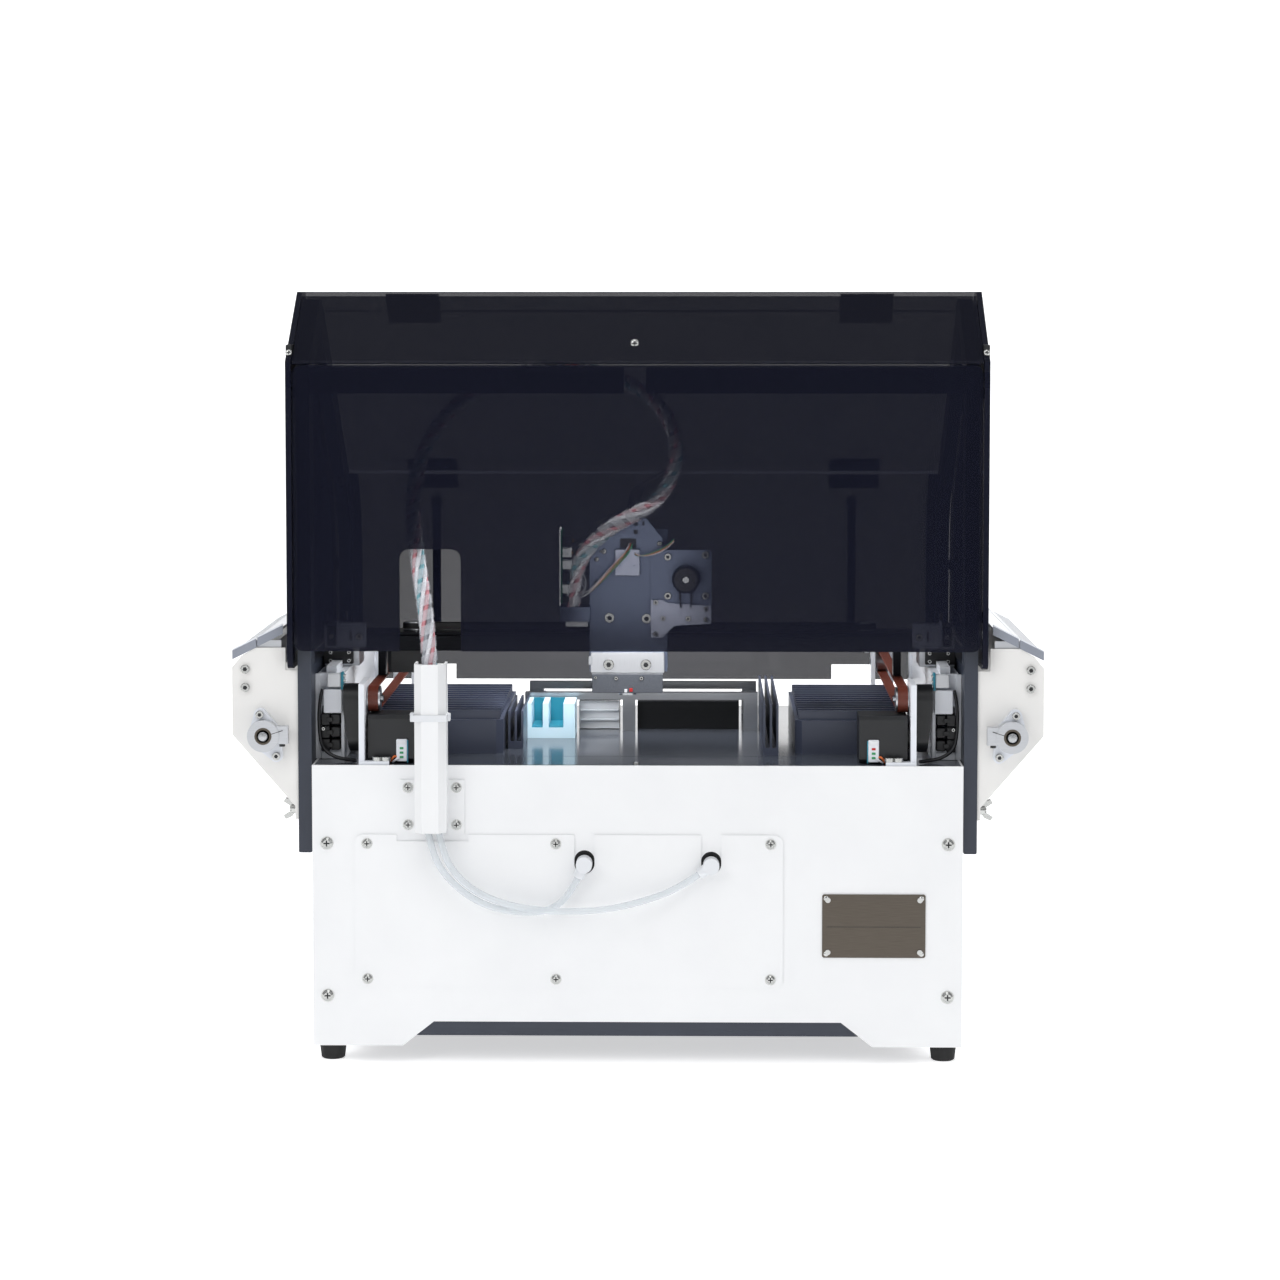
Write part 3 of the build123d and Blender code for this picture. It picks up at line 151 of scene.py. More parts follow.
soft_light("rear_left_box", (-2.0, -2.6, 2.1), (0.0, -0.1, 0.3), 1.8, 30.0)
soft_light("rear_right_box", (2.2, -2.4, 1.6), (0.0, -0.1, 0.3), 1.5, 12.0)
soft_light("top_box", (0.0, -1.5, 2.9), (0.0, 0.0, 0.2), 1.6, 16.0)
soft_light("front_box", (0.6, 2.6, 1.8), (0.0, 0.1, 0.3), 1.6, 9.0)
for name, place, target, size, power in (("under_cover_box", spot(0, 180, 500), spot(0, 180, 269), 0.3, 2.0),
                                          ("tray_box", spot(-85, 110, 352), spot(-85, 185, 285), 0.05, 0.16),
                                          ("head_box", spot(0, 8, 436), spot(0, 84, 436), 0.11, 0.27)):
    inner = soft_light(name, place, target, size, power)
    inner.visible_camera = False
    inner.visible_glossy = name == "head_box"
world = bpy.data.worlds.new("studio")
bpy.context.scene.world = world
world.use_nodes = True
world.node_tree.nodes["Background"].inputs["Color"].default_value = (0.93, 0.94, 0.96, 1.0)
world.node_tree.nodes["Background"].inputs["Strength"].default_value = 0.36

# %% [markdown]
# ## Finishes
# Colours are written as sRGB hex values, the way a colour card gives them, and one function makes them
# linear. One more function adds a shader node with its values and links.

# %% Colour and node helpers
def linear(code):
    """Linear RGBA from an sRGB hex value: c / 12.92 below 0.04045, else ((c + 0.055) / 1.055) ** 2.4."""
    srgb = np.array([int(code[i:i + 2], 16) for i in (1, 3, 5)]) / 255.0
    value = np.where(srgb <= 0.04045, srgb / 12.92, ((srgb + 0.055) / 1.055) ** 2.4)
    return (*value.tolist(), 1.0)


def add_node(tree, kind, values=None, links=None, **settings):
    """Shader node of one kind with its settings, socket values and incoming links."""
    node = tree.nodes.new(kind)
    for key, value in settings.items():
        setattr(node, key, value)
    for key, value in (values or {}).items():
        node.inputs[key].default_value = value
    for key, source in (links or {}).items():
        tree.links.new(source, node.inputs[key])
    return node


def blank_material(name):
    """Material with an empty tree."""
    material = bpy.data.materials.new(name)
    material.use_nodes = True
    material.node_tree.nodes.clear()
    return material, material.node_tree


def per_mm(size):
    """Noise scale that gives marks about this many millimetres across, for coordinates in metres."""
    return 1000.0 / size


# %% [markdown]
# Powder coat and moulded plastic share one build: an even colour that drifts a few percent over tens of
# millimetres, a roughness that drifts with it, and a fine orange peel or mould texture as bump. What
# changes is the size of the peel: about 1.5 mm on powder coat, 0.8 mm on moulded parts.

# %% Coated and moulded surfaces
def coated(name, dark, light, roughness, peel_mm, peel_depth, drift_mm=60.0, **shader):
    """Opaque coat: two near colours mixed by slow noise, peel as bump."""
    material, tree = blank_material(name)
    place = add_node(tree, "ShaderNodeTexCoord").outputs["Object"]
    drift = add_node(tree, "ShaderNodeTexNoise", {"Scale": per_mm(drift_mm), "Detail": 3.0},
                     {"Vector": place})
    colour = add_node(tree, "ShaderNodeMixRGB", {"Color1": linear(dark), "Color2": linear(light)},
                      {"Fac": drift.outputs["Fac"]})
    rough = add_node(tree, "ShaderNodeMapRange", {"To Min": roughness - 0.05, "To Max": roughness + 0.05},
                     {"Value": drift.outputs["Fac"]})
    peel = add_node(tree, "ShaderNodeTexNoise", {"Scale": per_mm(peel_mm), "Detail": 2.0}, {"Vector": place})
    bump = add_node(tree, "ShaderNodeBump", {"Strength": peel_depth, "Distance": 0.0002},
                    {"Height": peel.outputs["Fac"]})
    coat = add_node(tree, "ShaderNodeBsdfPrincipled", shader,
                    {"Base Color": colour.outputs["Color"], "Roughness": rough.outputs["Result"],
                     "Normal": bump.outputs["Normal"]})
    add_node(tree, "ShaderNodeOutputMaterial", None, {"Surface": coat.outputs["BSDF"]})
    return material


powder_white = coated("powder_coated_steel_white", "#E9EAEC", "#F1F2F3", 0.42, 1.5, 0.25)
powder_slate = coated("powder_coated_steel_slate", "#2A2F3B", "#343A47", 0.38, 1.5, 0.3)
powder_ivory = coated("powder_coated_steel_ivory", "#E2E1DF", "#EBEAE8", 0.45, 1.5, 0.25)
black_oxide_and_painted_shade = coated("black_oxide_steel_and_painted_shade", "#16171A", "#202225", 0.38, 0.9, 0.3)
abs_black = coated("moulded_abs_black", "#141517", "#1D1E21", 0.42, 0.8, 0.35)
abs_white = coated("moulded_abs_white", "#DEE2EA", "#E9ECF1", 0.32, 0.8, 0.1)
nylon_white = coated("moulded_nylon_white", "#DADDE2", "#E6E8EB", 0.38, 0.8, 0.15)
printed_blue = coated("printed_pla_light_blue", "#BBDAEA", "#CDE5F0", 0.45, 0.6, 0.4)
printed_teal = coated("printed_pla_teal", "#237A90", "#2F8BA0", 0.45, 0.6, 0.4)
printed_navy = coated("printed_abs_navy", "#3D4252", "#494F61", 0.33, 0.6, 0.5)
printed_grey = coated("printed_abs_grey", "#858A96", "#9297A2", 0.45, 0.6, 0.4)
moulded_red = coated("moulded_abs_red", "#B3161B", "#C41D21", 0.3, 0.8, 0.15)
moulded_green = coated("moulded_pbt_green", "#2F8F5B", "#3A9D67", 0.35, 0.8, 0.15)
foot_rubber = coated("moulded_rubber_black", "#0F0F10", "#19191B", 0.72, 0.7, 0.5)
roller_rubber = coated("turned_rubber_grey", "#26272B", "#33353A", 0.62, 0.6, 0.4)
belt_brown = coated("cast_polyurethane_brown", "#5C2A1E", "#6E3324", 0.5, 0.7, 0.4)
belt_black = coated("moulded_neoprene_black", "#121214", "#1C1C1F", 0.6, 0.7, 0.4)
table_enamel = coated("gloss_enamel_charcoal", "#3C4048", "#474B54", 0.13, 3.0, 0.06, 90.0)
solder_mask = coated("solder_mask_green", "#0E4B33", "#14593C", 0.25, 0.8, 0.2)
speckled_grey = coated("cast_resin_dark_grey", "#2A2D34", "#6C717B", 0.5, 0.5, 0.6, 0.9)
print("coats made")

# %% [markdown]
# Machined, ground and anodised parts are metals. Fine lines run along one axis, left by the cutter or the
# abrasive belt: the noise is stretched forty times along that axis. Real lines are near 0.05 mm apart,
# too fine to show here, so they are drawn at 0.3 mm.

# %% Metals
def worked_metal(name, dark, light, roughness, along=0, line_mm=0.3, depth_of_lines=0.15):
    """Metal with lines along axis 0, 1 or 2, from noise stretched forty times that way."""
    material, tree = blank_material(name)
    place = add_node(tree, "ShaderNodeTexCoord").outputs["Object"]
    stretch = [1.0, 1.0, 1.0]
    stretch[along] = 0.025
    lines_place = add_node(tree, "ShaderNodeMapping", {"Scale": stretch}, {"Vector": place})
    lines = add_node(tree, "ShaderNodeTexNoise", {"Scale": per_mm(line_mm), "Detail": 2.0},
                     {"Vector": lines_place.outputs["Vector"]})
    colour = add_node(tree, "ShaderNodeMixRGB", {"Color1": linear(dark), "Color2": linear(light)},
                      {"Fac": lines.outputs["Fac"]})
    rough = add_node(tree, "ShaderNodeMapRange", {"To Min": roughness - 0.08, "To Max": roughness + 0.08},
                     {"Value": lines.outputs["Fac"]})
    bump = add_node(tree, "ShaderNodeBump", {"Strength": depth_of_lines, "Distance": 0.0001},
                    {"Height": lines.outputs["Fac"]})
    metal = add_node(tree, "ShaderNodeBsdfPrincipled", {"Metallic": 1.0},
                     {"Base Color": colour.outputs["Color"], "Roughness": rough.outputs["Result"],
                      "Normal": bump.outputs["Normal"]})
    add_node(tree, "ShaderNodeOutputMaterial", None, {"Surface": metal.outputs["BSDF"]})
    return material


aluminium = worked_metal("milled_aluminium", "#BFC2C7", "#D6D8DC", 0.32)
aluminium_upright = worked_metal("extruded_aluminium_clear_anodised", "#C6C8CD", "#DBDDE1", 0.36, 2)
steel_ground = worked_metal("ground_steel", "#A9ABAE", "#C4C6C8", 0.22, 1)
steel_zinc = worked_metal("zinc_plated_steel", "#B4B5B3", "#D0D1CF", 0.24, 0, 0.6)
steel_etched = worked_metal("brushed_steel_dark_plate", "#565049", "#6E675F", 0.38, 0, 0.35, 0.3)
black_anodised = worked_metal("anodised_aluminium_black", "#191A1D", "#26272B", 0.36, 0)
slate_anodised = worked_metal("anodised_aluminium_slate_blue", "#6B7489", "#7C859B", 0.4, 2)
brass = worked_metal("turned_brass", "#B08D4A", "#C9A560", 0.28)
print("metals made")

# %% [markdown]
# The cover is smoked acrylic sheet. Seen against white, one sheet passes about a fourteenth of the light
# and two pass almost none. Each sheet has two faces, so each face lets about a quarter through. The
# surface is cast and polished, so it mirrors the lights a little, and a faint waviness keeps the
# reflections from being perfect. The paper of the sweep is made here too.

# %% Clear plastics
def see_through(name, tint, alpha, roughness, wave_mm, wave_depth, shine=0.5, glow=0.0):
    """Plastic face covering alpha of what is behind it, slow waves as bump; glow is painted light, emission
    in the tint.
    """
    material, tree = blank_material(name)
    place = add_node(tree, "ShaderNodeTexCoord").outputs["Object"]
    waves = add_node(tree, "ShaderNodeTexNoise", {"Scale": per_mm(wave_mm), "Detail": 1.0}, {"Vector": place})
    bump = add_node(tree, "ShaderNodeBump", {"Strength": wave_depth, "Distance": 0.0005},
                    {"Height": waves.outputs["Fac"]})
    sheet = add_node(tree, "ShaderNodeBsdfPrincipled",
                     {"Base Color": linear(tint), "Alpha": alpha, "Roughness": roughness, "IOR": 1.49,
                      "Specular IOR Level": shine, "Emission Color": linear(tint), "Emission Strength": glow},
                     {"Normal": bump.outputs["Normal"]})
    add_node(tree, "ShaderNodeOutputMaterial", None, {"Surface": sheet.outputs["BSDF"]})
    return material


smoked_acrylic = see_through("cast_acrylic_smoked", "#141624", 0.735, 0.05, 120.0, 0.03, 0.1)
smoked_edge_on = see_through("cast_acrylic_smoked_side_sheets", "#141624", 0.96, 0.05, 120.0, 0.03, 0.1)
spiral_wrap = see_through("extruded_polyethylene_clear", "#E8EAF0", 0.24, 0.3, 4.0, 0.2)
paper, paper_tree = blank_material("matte_paper_white")
paper_coat = add_node(paper_tree, "ShaderNodeBsdfPrincipled",
                      {"Base Color": linear("#FDFDFD"), "Roughness": 0.9, "Emission Color": linear("#FFFFFF"),
                       "Emission Strength": 0.55})
add_node(paper_tree, "ShaderNodeOutputMaterial", None, {"Surface": paper_coat.outputs["BSDF"]})
floor.data.materials.append(paper)
clear_tube = see_through("extruded_polyurethane_clear", "#DDE3E8", 0.5, 0.15, 6.0, 0.1)
print("clear plastics made")

# %% [markdown]
# ## Finishes on the solid parts
# Each solid node keeps its shape and takes one finish here.

# %% Dress the solid nodes
finish_of = {
    powder_white: ["rear_panel", "base_shell", "access_panel", "riser_channel"],
    powder_slate: ["bottom_tray", "side_plates"],
    table_enamel: ["table_plate"],
    foot_rubber: ["rubber_feet"],
    steel_zinc: ["fasteners", "power_supply"],
    steel_etched: ["data_plate"],
    nylon_white: ["air_fittings"],
    smoked_edge_on: ["cover_sides"],
    smoked_acrylic: ["cover_rear_panel", "cover_ridge_panel", "top_lid", "front_flap"],
    black_oxide_and_painted_shade: ["cover_crossbars", "ridge_hinge_leaves", "lid_hinge_leaves", "flap_fittings", "y_motors",
                  "x_motor", "z_motor"],
    powder_ivory: ["wing_frames"],
    abs_white: ["belt_brackets", "y_rails", "wing_bearings"],
    abs_black: ["belt_guards", "table_boxes", "control_bodies", "power_rocker", "vacuum_pumps"],
    belt_brown: ["y_belts"],
    belt_black: ["x_belt"],
    aluminium: ["y_drive_pulleys", "y_idler_pulleys", "x_drive_pulley", "x_idler_pulley", "gantry_ends",
                "head_foot", "board_clamp_frame", "board_clamp_slider", "tape_guides", "film_roller_left",
                "film_roller_right"],
    black_anodised: ["x_beam", "z_pulley", "nozzle_carrier_a", "nozzle_carrier_b"],
    slate_anodised: ["head_plate"],
    steel_ground: ["nozzle_a", "nozzle_b"],
    printed_navy: ["feeder_banks"],
    printed_blue: ["parts_tray"],
    moulded_red: ["estop_button"],
    solder_mask: ["control_board"],
    spiral_wrap: ["umbilical"],
    clear_tube: ["air_tube_a", "air_tube_b"],
}
for material, nodes in finish_of.items():
    for node in nodes:
        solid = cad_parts[node]
        solid.data.materials.clear()
        solid.data.materials.append(material)
print("dressed", sum(len(nodes) for nodes in finish_of.values()), "nodes")

# %% [markdown]
# ## The wire bundle
# Wires for the head leave the riser behind the machine, pass the notch in the rear cover and arch down to
# the head's connector. The same route was used for the solid tube. A NURBS curve of order 3 through these
# control points gives one smooth line, and all strands follow points read from it.

# %% Route of the bundle
bundle_route = [
    (-182.5, -14, 346), (-185, -11, 395), (-195, 12, 446), (-203, 30, 500), (-193, 40, 552), (-161, 47, 594),
    (-113, 52, 617), (-62, 56, 623), (-16, 59, 613), (20, 61, 590), (35, 63, 558), (33, 64, 525),
    (14, 65, 497), (-24, 66, 479), (-50, 68, 455), (-59.5, 70, 428), (-59.5, 70, 405)]


def smooth_curve(name, route, radius=0.0):
    """Curve object with one NURBS spline of order 3 that starts and ends on its end points."""
    curve = bpy.data.curves.new(name, "CURVE")
    curve.dimensions = "3D"
    curve.resolution_u = 16
    curve.bevel_depth = radius
    curve.bevel_resolution = 5
    curve.use_fill_caps = True
    spline = curve.splines.new("NURBS")
    spline.points.add(len(route) - 1)
    spline.points.foreach_set("co", np.array([(*spot(*p), 1.0) for p in route]).ravel())
    spline.order_u = 3
    spline.use_endpoint_u = True
    holder = bpy.data.objects.new(name, curve)
    bpy.context.scene.collection.objects.link(holder)
    return holder


def points_on(curve_object):
    """Points along a curve that has no bevel, as an array of rows, and the length up to each one."""
    line = bpy.data.meshes.new_from_object(curve_object)
    found = np.empty(len(line.vertices) * 3)
    line.vertices.foreach_get("co", found)
    found = found.reshape(-1, 3)
    steps = np.linalg.norm(np.diff(found, axis=0), axis=1)
    bpy.data.meshes.remove(line)
    return found, np.concatenate([[0.0], np.cumsum(steps)])


guide = smooth_curve("bundle_guide", bundle_route)
bundle_line, bundle_reach = points_on(guide)
bpy.data.objects.remove(guide)
apex = int(np.argmax(bundle_line[:, 2]))
print("bundle", len(bundle_line), "points, length", round(float(bundle_reach[-1]), 4), "m, apex at",
      np.round(bundle_line[apex], 4).tolist())

# %% [markdown]
# Every strand is a helix round the route: its place is the route's point plus a radius along a direction
# that turns steadily with the length. The direction is built from the route's tangent and the Y axis,
# which the route never runs along, so it needs no frame carried from point to point.

# %% Shapes carried along a route
def strand(line, reach, start, far, radius, phase, pitch, thick, sides=6, steps_per_mm=0.4):
    """Tube on a helix: centre c(s) + radius * (cos a * n + sin a * b), a = phase + 2 pi s / pitch."""
    count = max(8, int((far - start) / MM * steps_per_mm))
    s = np.linspace(start, far, count)
    centre = np.stack([np.interp(s, reach, line[:, k]) for k in range(3)], axis=-1)
    tangent = np.gradient(centre, axis=0)
    tangent /= np.linalg.norm(tangent, axis=1)[:, None]
    n = np.cross(tangent, [0.0, 1.0, 0.0])
    n /= np.linalg.norm(n, axis=1)[:, None]
    b = np.cross(tangent, n)
    a = (phase + 2 * math.pi * s / pitch)[:, None]
    core = centre + radius * (np.cos(a) * n + np.sin(a) * b)
    flow = np.gradient(core, axis=0)
    flow /= np.linalg.norm(flow, axis=1)[:, None]
    u = np.cross(flow, [0.0, 1.0, 0.0])
    u /= np.linalg.norm(u, axis=1)[:, None]
    v = np.cross(flow, u)
    turn = np.linspace(0, 2 * math.pi, sides, endpoint=False)[None, :, None]
    rings = core[:, None, :] + thick * (np.cos(turn) * u[:, None, :] + np.sin(turn) * v[:, None, :])
    return rings


def wrap_ribbon(line, reach, start, far, radius, pitch, wide, thick, steps_per_turn=20):
    """Flat ribbon wound on the route: a rectangle wide along the route and thick across it, on a helix."""
    count = int((far - start - wide) / pitch * steps_per_turn)
    s = np.linspace(start, far - wide, count)[:, None]
    along = np.array([0.0, 1.0, 1.0, 0.0])[None, :] * wide
    out = radius + np.array([0.0, 0.0, 1.0, 1.0])[None, :] * thick
    t = s + along
    centre = np.stack([np.interp(t, reach, line[:, k]) for k in range(3)], axis=-1)
    ahead = np.stack([np.interp(t + 0.002, reach, line[:, k]) for k in range(3)], axis=-1)
    behind = np.stack([np.interp(t - 0.002, reach, line[:, k]) for k in range(3)], axis=-1)
    tangent = ahead - behind
    tangent /= np.linalg.norm(tangent, axis=-1, keepdims=True)
    n = np.cross(tangent, [0.0, 1.0, 0.0])
    n /= np.linalg.norm(n, axis=-1, keepdims=True)
    b = np.cross(tangent, n)
    a = 2 * math.pi * s / pitch + 0 * along
    return centre + out[..., None] * (np.cos(a)[..., None] * n + np.sin(a)[..., None] * b)


def ring_faces(rows, columns):
    """Quads between neighbouring rings, and one many-sided face at each end."""
    i = np.arange(rows - 1)[:, None] * columns
    j = np.arange(columns)[None, :]
    k = (j + 1) % columns
    quads = np.stack([i + j, i + k, i + columns + k, i + columns + j], axis=-1).reshape(-1, 4).tolist()
    return quads + [list(range(columns))[::-1], list(range((rows - 1) * columns, rows * columns))]


def piece(name, body, shapes, crease=0.6):
    """One object from a list of (rings, material), where rings is a closed grid of rows x columns x 3."""
    materials, points, faces, index, base = [], [], [], [], 0
    for rings, material in shapes:
        if material not in materials:
            materials.append(material)
        rows, columns = rings.shape[:2]
        found = ring_faces(rows, columns)
        faces += [[base + corner for corner in face] for face in found]
        index += [materials.index(material)] * len(found)
        points.append(rings.reshape(-1, 3))
        base += rows * columns
    mesh = bpy.data.meshes.new(name)
    mesh.from_pydata(np.concatenate(points).tolist(), [], faces)
    for material in materials:
        mesh.materials.append(material)
    mesh.polygons.foreach_set("material_index", np.array(index, dtype=np.int32))
    shell = bmesh.new()
    shell.from_mesh(mesh)
    bmesh.ops.recalc_face_normals(shell, faces=shell.faces[:])
    shell.to_mesh(mesh)
    shell.free()
    mesh.polygons.foreach_set("use_smooth", np.ones(len(mesh.polygons), dtype=bool))
    mesh.set_sharp_from_angle(angle=crease)
    made = bpy.data.objects.new(name, mesh)
    bpy.context.scene.collection.objects.link(made)
    if body:
        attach(made, body)
    return made


# %% [markdown]
# Seven insulated wires lie round a core wire and a clear spiral wrap holds them. The bundle is made in
# two stretches that meet at the top of the arch: one bends between the base and the gantry, the other
# between the gantry and the head.

# %% Wires and wrap of the bundle
WIRE_RADIUS, CORE_RADIUS = 0.0019, 0.0028           # metres, like every measure of the bundle
LAY_RADIUS, LAY_PITCH = 0.0046, 0.110               # helix of the seven wires
WRAP_RADIUS, WRAP_PITCH, WRAP_WIDE, WRAP_THICK = 0.0067, 0.0125, 0.0085, 0.0007
wire_white = coated("extruded_pvc_white", "#DADBE2", "#EBECF0", 0.4, 1.0, 0.1)
wire_red = coated("extruded_pvc_red", "#BF7A84", "#D0949B", 0.4, 1.0, 0.1)
wire_teal = coated("extruded_pvc_teal", "#6A9FAA", "#82B2BC", 0.4, 1.0, 0.1)
wire_black = coated("extruded_pvc_black", "#17181B", "#222327", 0.42, 1.0, 0.1)
wire_grey = coated("extruded_pvc_grey", "#85888F", "#9A9DA4", 0.4, 1.0, 0.1)


def bundle(name, first, last):
    """Stretch of the bundle between two places on its route."""
    begin, stop = float(bundle_reach[first]), float(bundle_reach[last])
    colours = [wire_white, wire_red, wire_white, wire_teal, wire_white, wire_red, wire_grey]
    shapes = [(strand(bundle_line, bundle_reach, begin, stop, LAY_RADIUS, 2 * math.pi * k / 7, LAY_PITCH,
                      WIRE_RADIUS), colour) for k, colour in enumerate(colours)]
    shapes.append((strand(bundle_line, bundle_reach, begin, stop, 0.0, 0.0, 1.0, CORE_RADIUS), wire_white))
    shapes.append((wrap_ribbon(bundle_line, bundle_reach, begin, stop, WRAP_RADIUS, WRAP_PITCH, WRAP_WIDE,
                               WRAP_THICK), spiral_wrap))
    made = piece(name, None, shapes)
    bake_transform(made)
    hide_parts("umbilical")
    return made


high = bundle_line[apex].tolist()
rising = bundle("bundle_rising", 0, apex)
falling = bundle("bundle_falling", apex, len(bundle_line) - 1)
print("bundle faces", len(rising.data.polygons), len(falling.data.polygons))

# %% [markdown]
# Two clear air lines leave the riser's lower end, sag against the rear panel and plug into the vacuum
# fittings. Each is a round tube on its own NURBS line, limp enough to hang in a shallow loop.

# %% Air lines
def port_point(x, z, angle, reach):
    """Point on a fitting's port axis, reach millimetres from the fitting's middle."""
    turn = math.radians(angle)
    return (x + reach * math.cos(turn), -9.0, z + reach * math.sin(turn))


LEFT_PORT = (-47.0, 182.0, 245.0)
RIGHT_PORT = (66.0, 181.0, 215.0)
line_a_route = [(-187, -14, 226), (-184, -14.5, 196), (-167, -15, 167), (-137, -15.5, 146), (-104, -15, 139),
                (-79, -12, 140), port_point(*LEFT_PORT, 32), port_point(*LEFT_PORT, 13)]
line_b_route = [(-178, -14, 226), (-174, -16, 193), (-152, -20, 163), (-115, -23, 147), (-72, -23.5, 141.5),
                (-28, -22, 143), (10, -15, 151), port_point(*RIGHT_PORT, 35), port_point(*RIGHT_PORT, 13)]
for name, route, node, length in (("air_line_a", line_a_route, "air_tube_a", 0.199),
                                  ("air_line_b", line_b_route, "air_tube_b", 0.288)):
    guide = smooth_curve("guide", route)
    measured = points_on(guide)[1][-1]
    bpy.data.objects.remove(guide)
    line = smooth_curve(name, route, 0.003)
    line.data.materials.append(clear_tube)
    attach(line, "base")
    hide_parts(node)
    print(name, "measures", round(float(measured), 4), "m")


# %% [markdown]
# ## Small hardware
# Everything below is built from closed grids of rings. `carried` takes an outline in a plane and carries
# it along the plane's normal, with its rim drawn in at both ends as a small chamfer. `turned` spins a
# profile of heights and radii round an axis, as a lathe would.

# %% Outlines and solids from rings
def placed(u, v, w, axis):
    """Metres in the frame from two in-plane measures and one along the axis, all in millimetres."""
    x, d, z = {"x": (w, u, v), "y": (u, w, v), "z": (u, v, w)}[axis]
    metres = np.broadcast_arrays(np.asarray(x) * MM, REAR + np.asarray(d) * MM, np.asarray(z) * MM)
    return np.stack(metres, axis=-1)


def rounded(low_u, high_u, low_v, high_v, radius=0.8, steps=3):
    """Rounded rectangle: four corner centres, each with a quarter turn of radius (cos t, sin t)."""
    radius = min(radius, 0.49 * (high_u - low_u), 0.49 * (high_v - low_v))
    t = np.linspace(0, math.pi / 2, steps)[None, :] + np.arange(4)[:, None] * math.pi / 2
    u = np.array([high_u - radius, low_u + radius, low_u + radius, high_u - radius])[:, None]
    v = np.array([high_v - radius, high_v - radius, low_v + radius, low_v + radius])[:, None]
    return np.stack([u + radius * np.cos(t), v + radius * np.sin(t)], axis=-1).reshape(-1, 2)


def carried(outline, low, high, axis, edge=0.3):
    """Outline carried from low to high; the first and last rings are drawn in towards its middle by edge."""
    outline = np.asarray(outline, dtype=float)
    edge = min(edge, 0.4 * (high - low))
    middle = outline.mean(axis=0)
    reach = np.abs(outline - middle).max(axis=0)
    small = middle + (outline - middle) * (1.0 - edge / np.maximum(reach, edge * 1.5))
    loops = np.stack([small, outline, outline, small])
    level = np.array([low, low + edge, high - edge, high])[:, None]
    return placed(loops[..., 0], loops[..., 1], level, axis)


def turned(u, v, profile, axis, sides=28):
    """Profile of (place along the axis, radius) spun round the axis through (u, v)."""
    profile = np.asarray(profile, dtype=float)
    t = np.linspace(0, 2 * math.pi, sides, endpoint=False)[None, :]
    return placed(u + profile[:, 1:] * np.cos(t), v + profile[:, 1:] * np.sin(t), profile[:, :1], axis)


def cross_outline(u, v, arm, half):
    """Plus sign with arms of length arm and half width half."""
    a, h = arm, half
    corner = [(a, -h), (a, h), (h, h), (h, a), (-h, a), (-h, h), (-a, h), (-a, -h), (-h, -h), (-h, -a),
              (h, -a), (h, -h)]
    return np.array(corner) + np.array([u, v])


def cap_screw(u, v, face, radius, axis="y", toward=-1):
    """Socket head screw standing toward one way from a face: knurled edge left plain, hexagon socket as a
    dark hexagon of painted shade.
    """
    tall = radius * 0.9
    head = [(face, radius), (face + toward * (tall - 0.4), radius), (face + toward * tall, radius - 0.4),
            (face + toward * tall, 0.02)]
    t = np.linspace(0, 2 * math.pi, 6, endpoint=False)
    hexagon = np.stack([u + 0.5 * radius * np.cos(t), v + 0.5 * radius * np.sin(t)], axis=-1)
    low, high = sorted((face + toward * (tall - 0.2), face + toward * (tall + 0.06)))
    return [(turned(u, v, head, axis), steel_zinc), (carried(hexagon, low, high, axis, 0.0), black_oxide_and_painted_shade)]


def pan_screw(u, v, face, radius, axis="y", toward=-1):
    """Pan head with a cross recess: dome r cos t, h sin t, with a dark plus on its crown as painted shade of
    the recess.
    """
    tall = radius * 0.5
    t = np.linspace(0, math.pi / 2, 6)
    dome = np.stack([face + toward * tall * np.sin(t), np.maximum(radius * np.cos(t) ** 0.6, 0.02)], axis=-1)
    low, high = sorted((face + toward * (tall - 0.4), face + toward * (tall + 0.05)))
    return [(turned(u, v, dome, axis), steel_zinc),
            (carried(cross_outline(u, v, radius * 0.5, radius * 0.11), low, high, axis, 0.0), black_oxide_and_painted_shade)]


def box(x, d, z, material, edge=0.3, radius=0.8):
    """Block from ranges of X, depth and Z with rounded upright corners and chamfered faces."""
    return carried(rounded(x[0], x[1], z[0], z[1], radius), d[0], d[1], "y", edge), material


# %% [markdown]
# The pan heads on the rear panel are solid, recess and all. A thin dark cross lies at the bottom of each
# cross recess as painted shade, and the rim of a plain washer shows round each head.

# %% Cross recesses of the cabinet screws
recesses = []
for heads, face, radius, tall in (
        ([(x, z) for x in (-277.0, 277.0) for z in (61.5, 199.0)], 0.0, 5.0, 3.1),
        ([(x, z) for x in (-241.0, -72.5, 119.0) for z in (77.0, 199.0)], -1.5, 4.0, 2.48),
        ([(RISER_X + x, z) for x in (-21.5, 21.5) for z in (216.0, 249.5)], -2.0, 4.0, 2.48)):
    for x, z in heads:
        # dark cross at the bottom of the recess: painted shade
        recesses.append((carried(cross_outline(x, z, radius * 0.54, radius * 0.12), face - 0.66 * tall,
                                 face - 0.55 * tall, "y", 0.0), black_oxide_and_painted_shade))
        ring = [(face - 0.02, radius + 0.9), (face - 0.3, radius + 0.9), (face - 0.3, radius - 0.3)]
        recesses.append((turned(x, z, ring, "y"), steel_zinc))
piece("cabinet_screw_recesses", "base", recesses)
print("recesses on", len(recesses) // 2, "screws")

# %% [markdown]
# The riser is a folded sheet channel closed by a tie that holds the bundle: a flat nylon strap round
# three sides, with its square lock on one side. The rating plate keeps only its ruled lines.

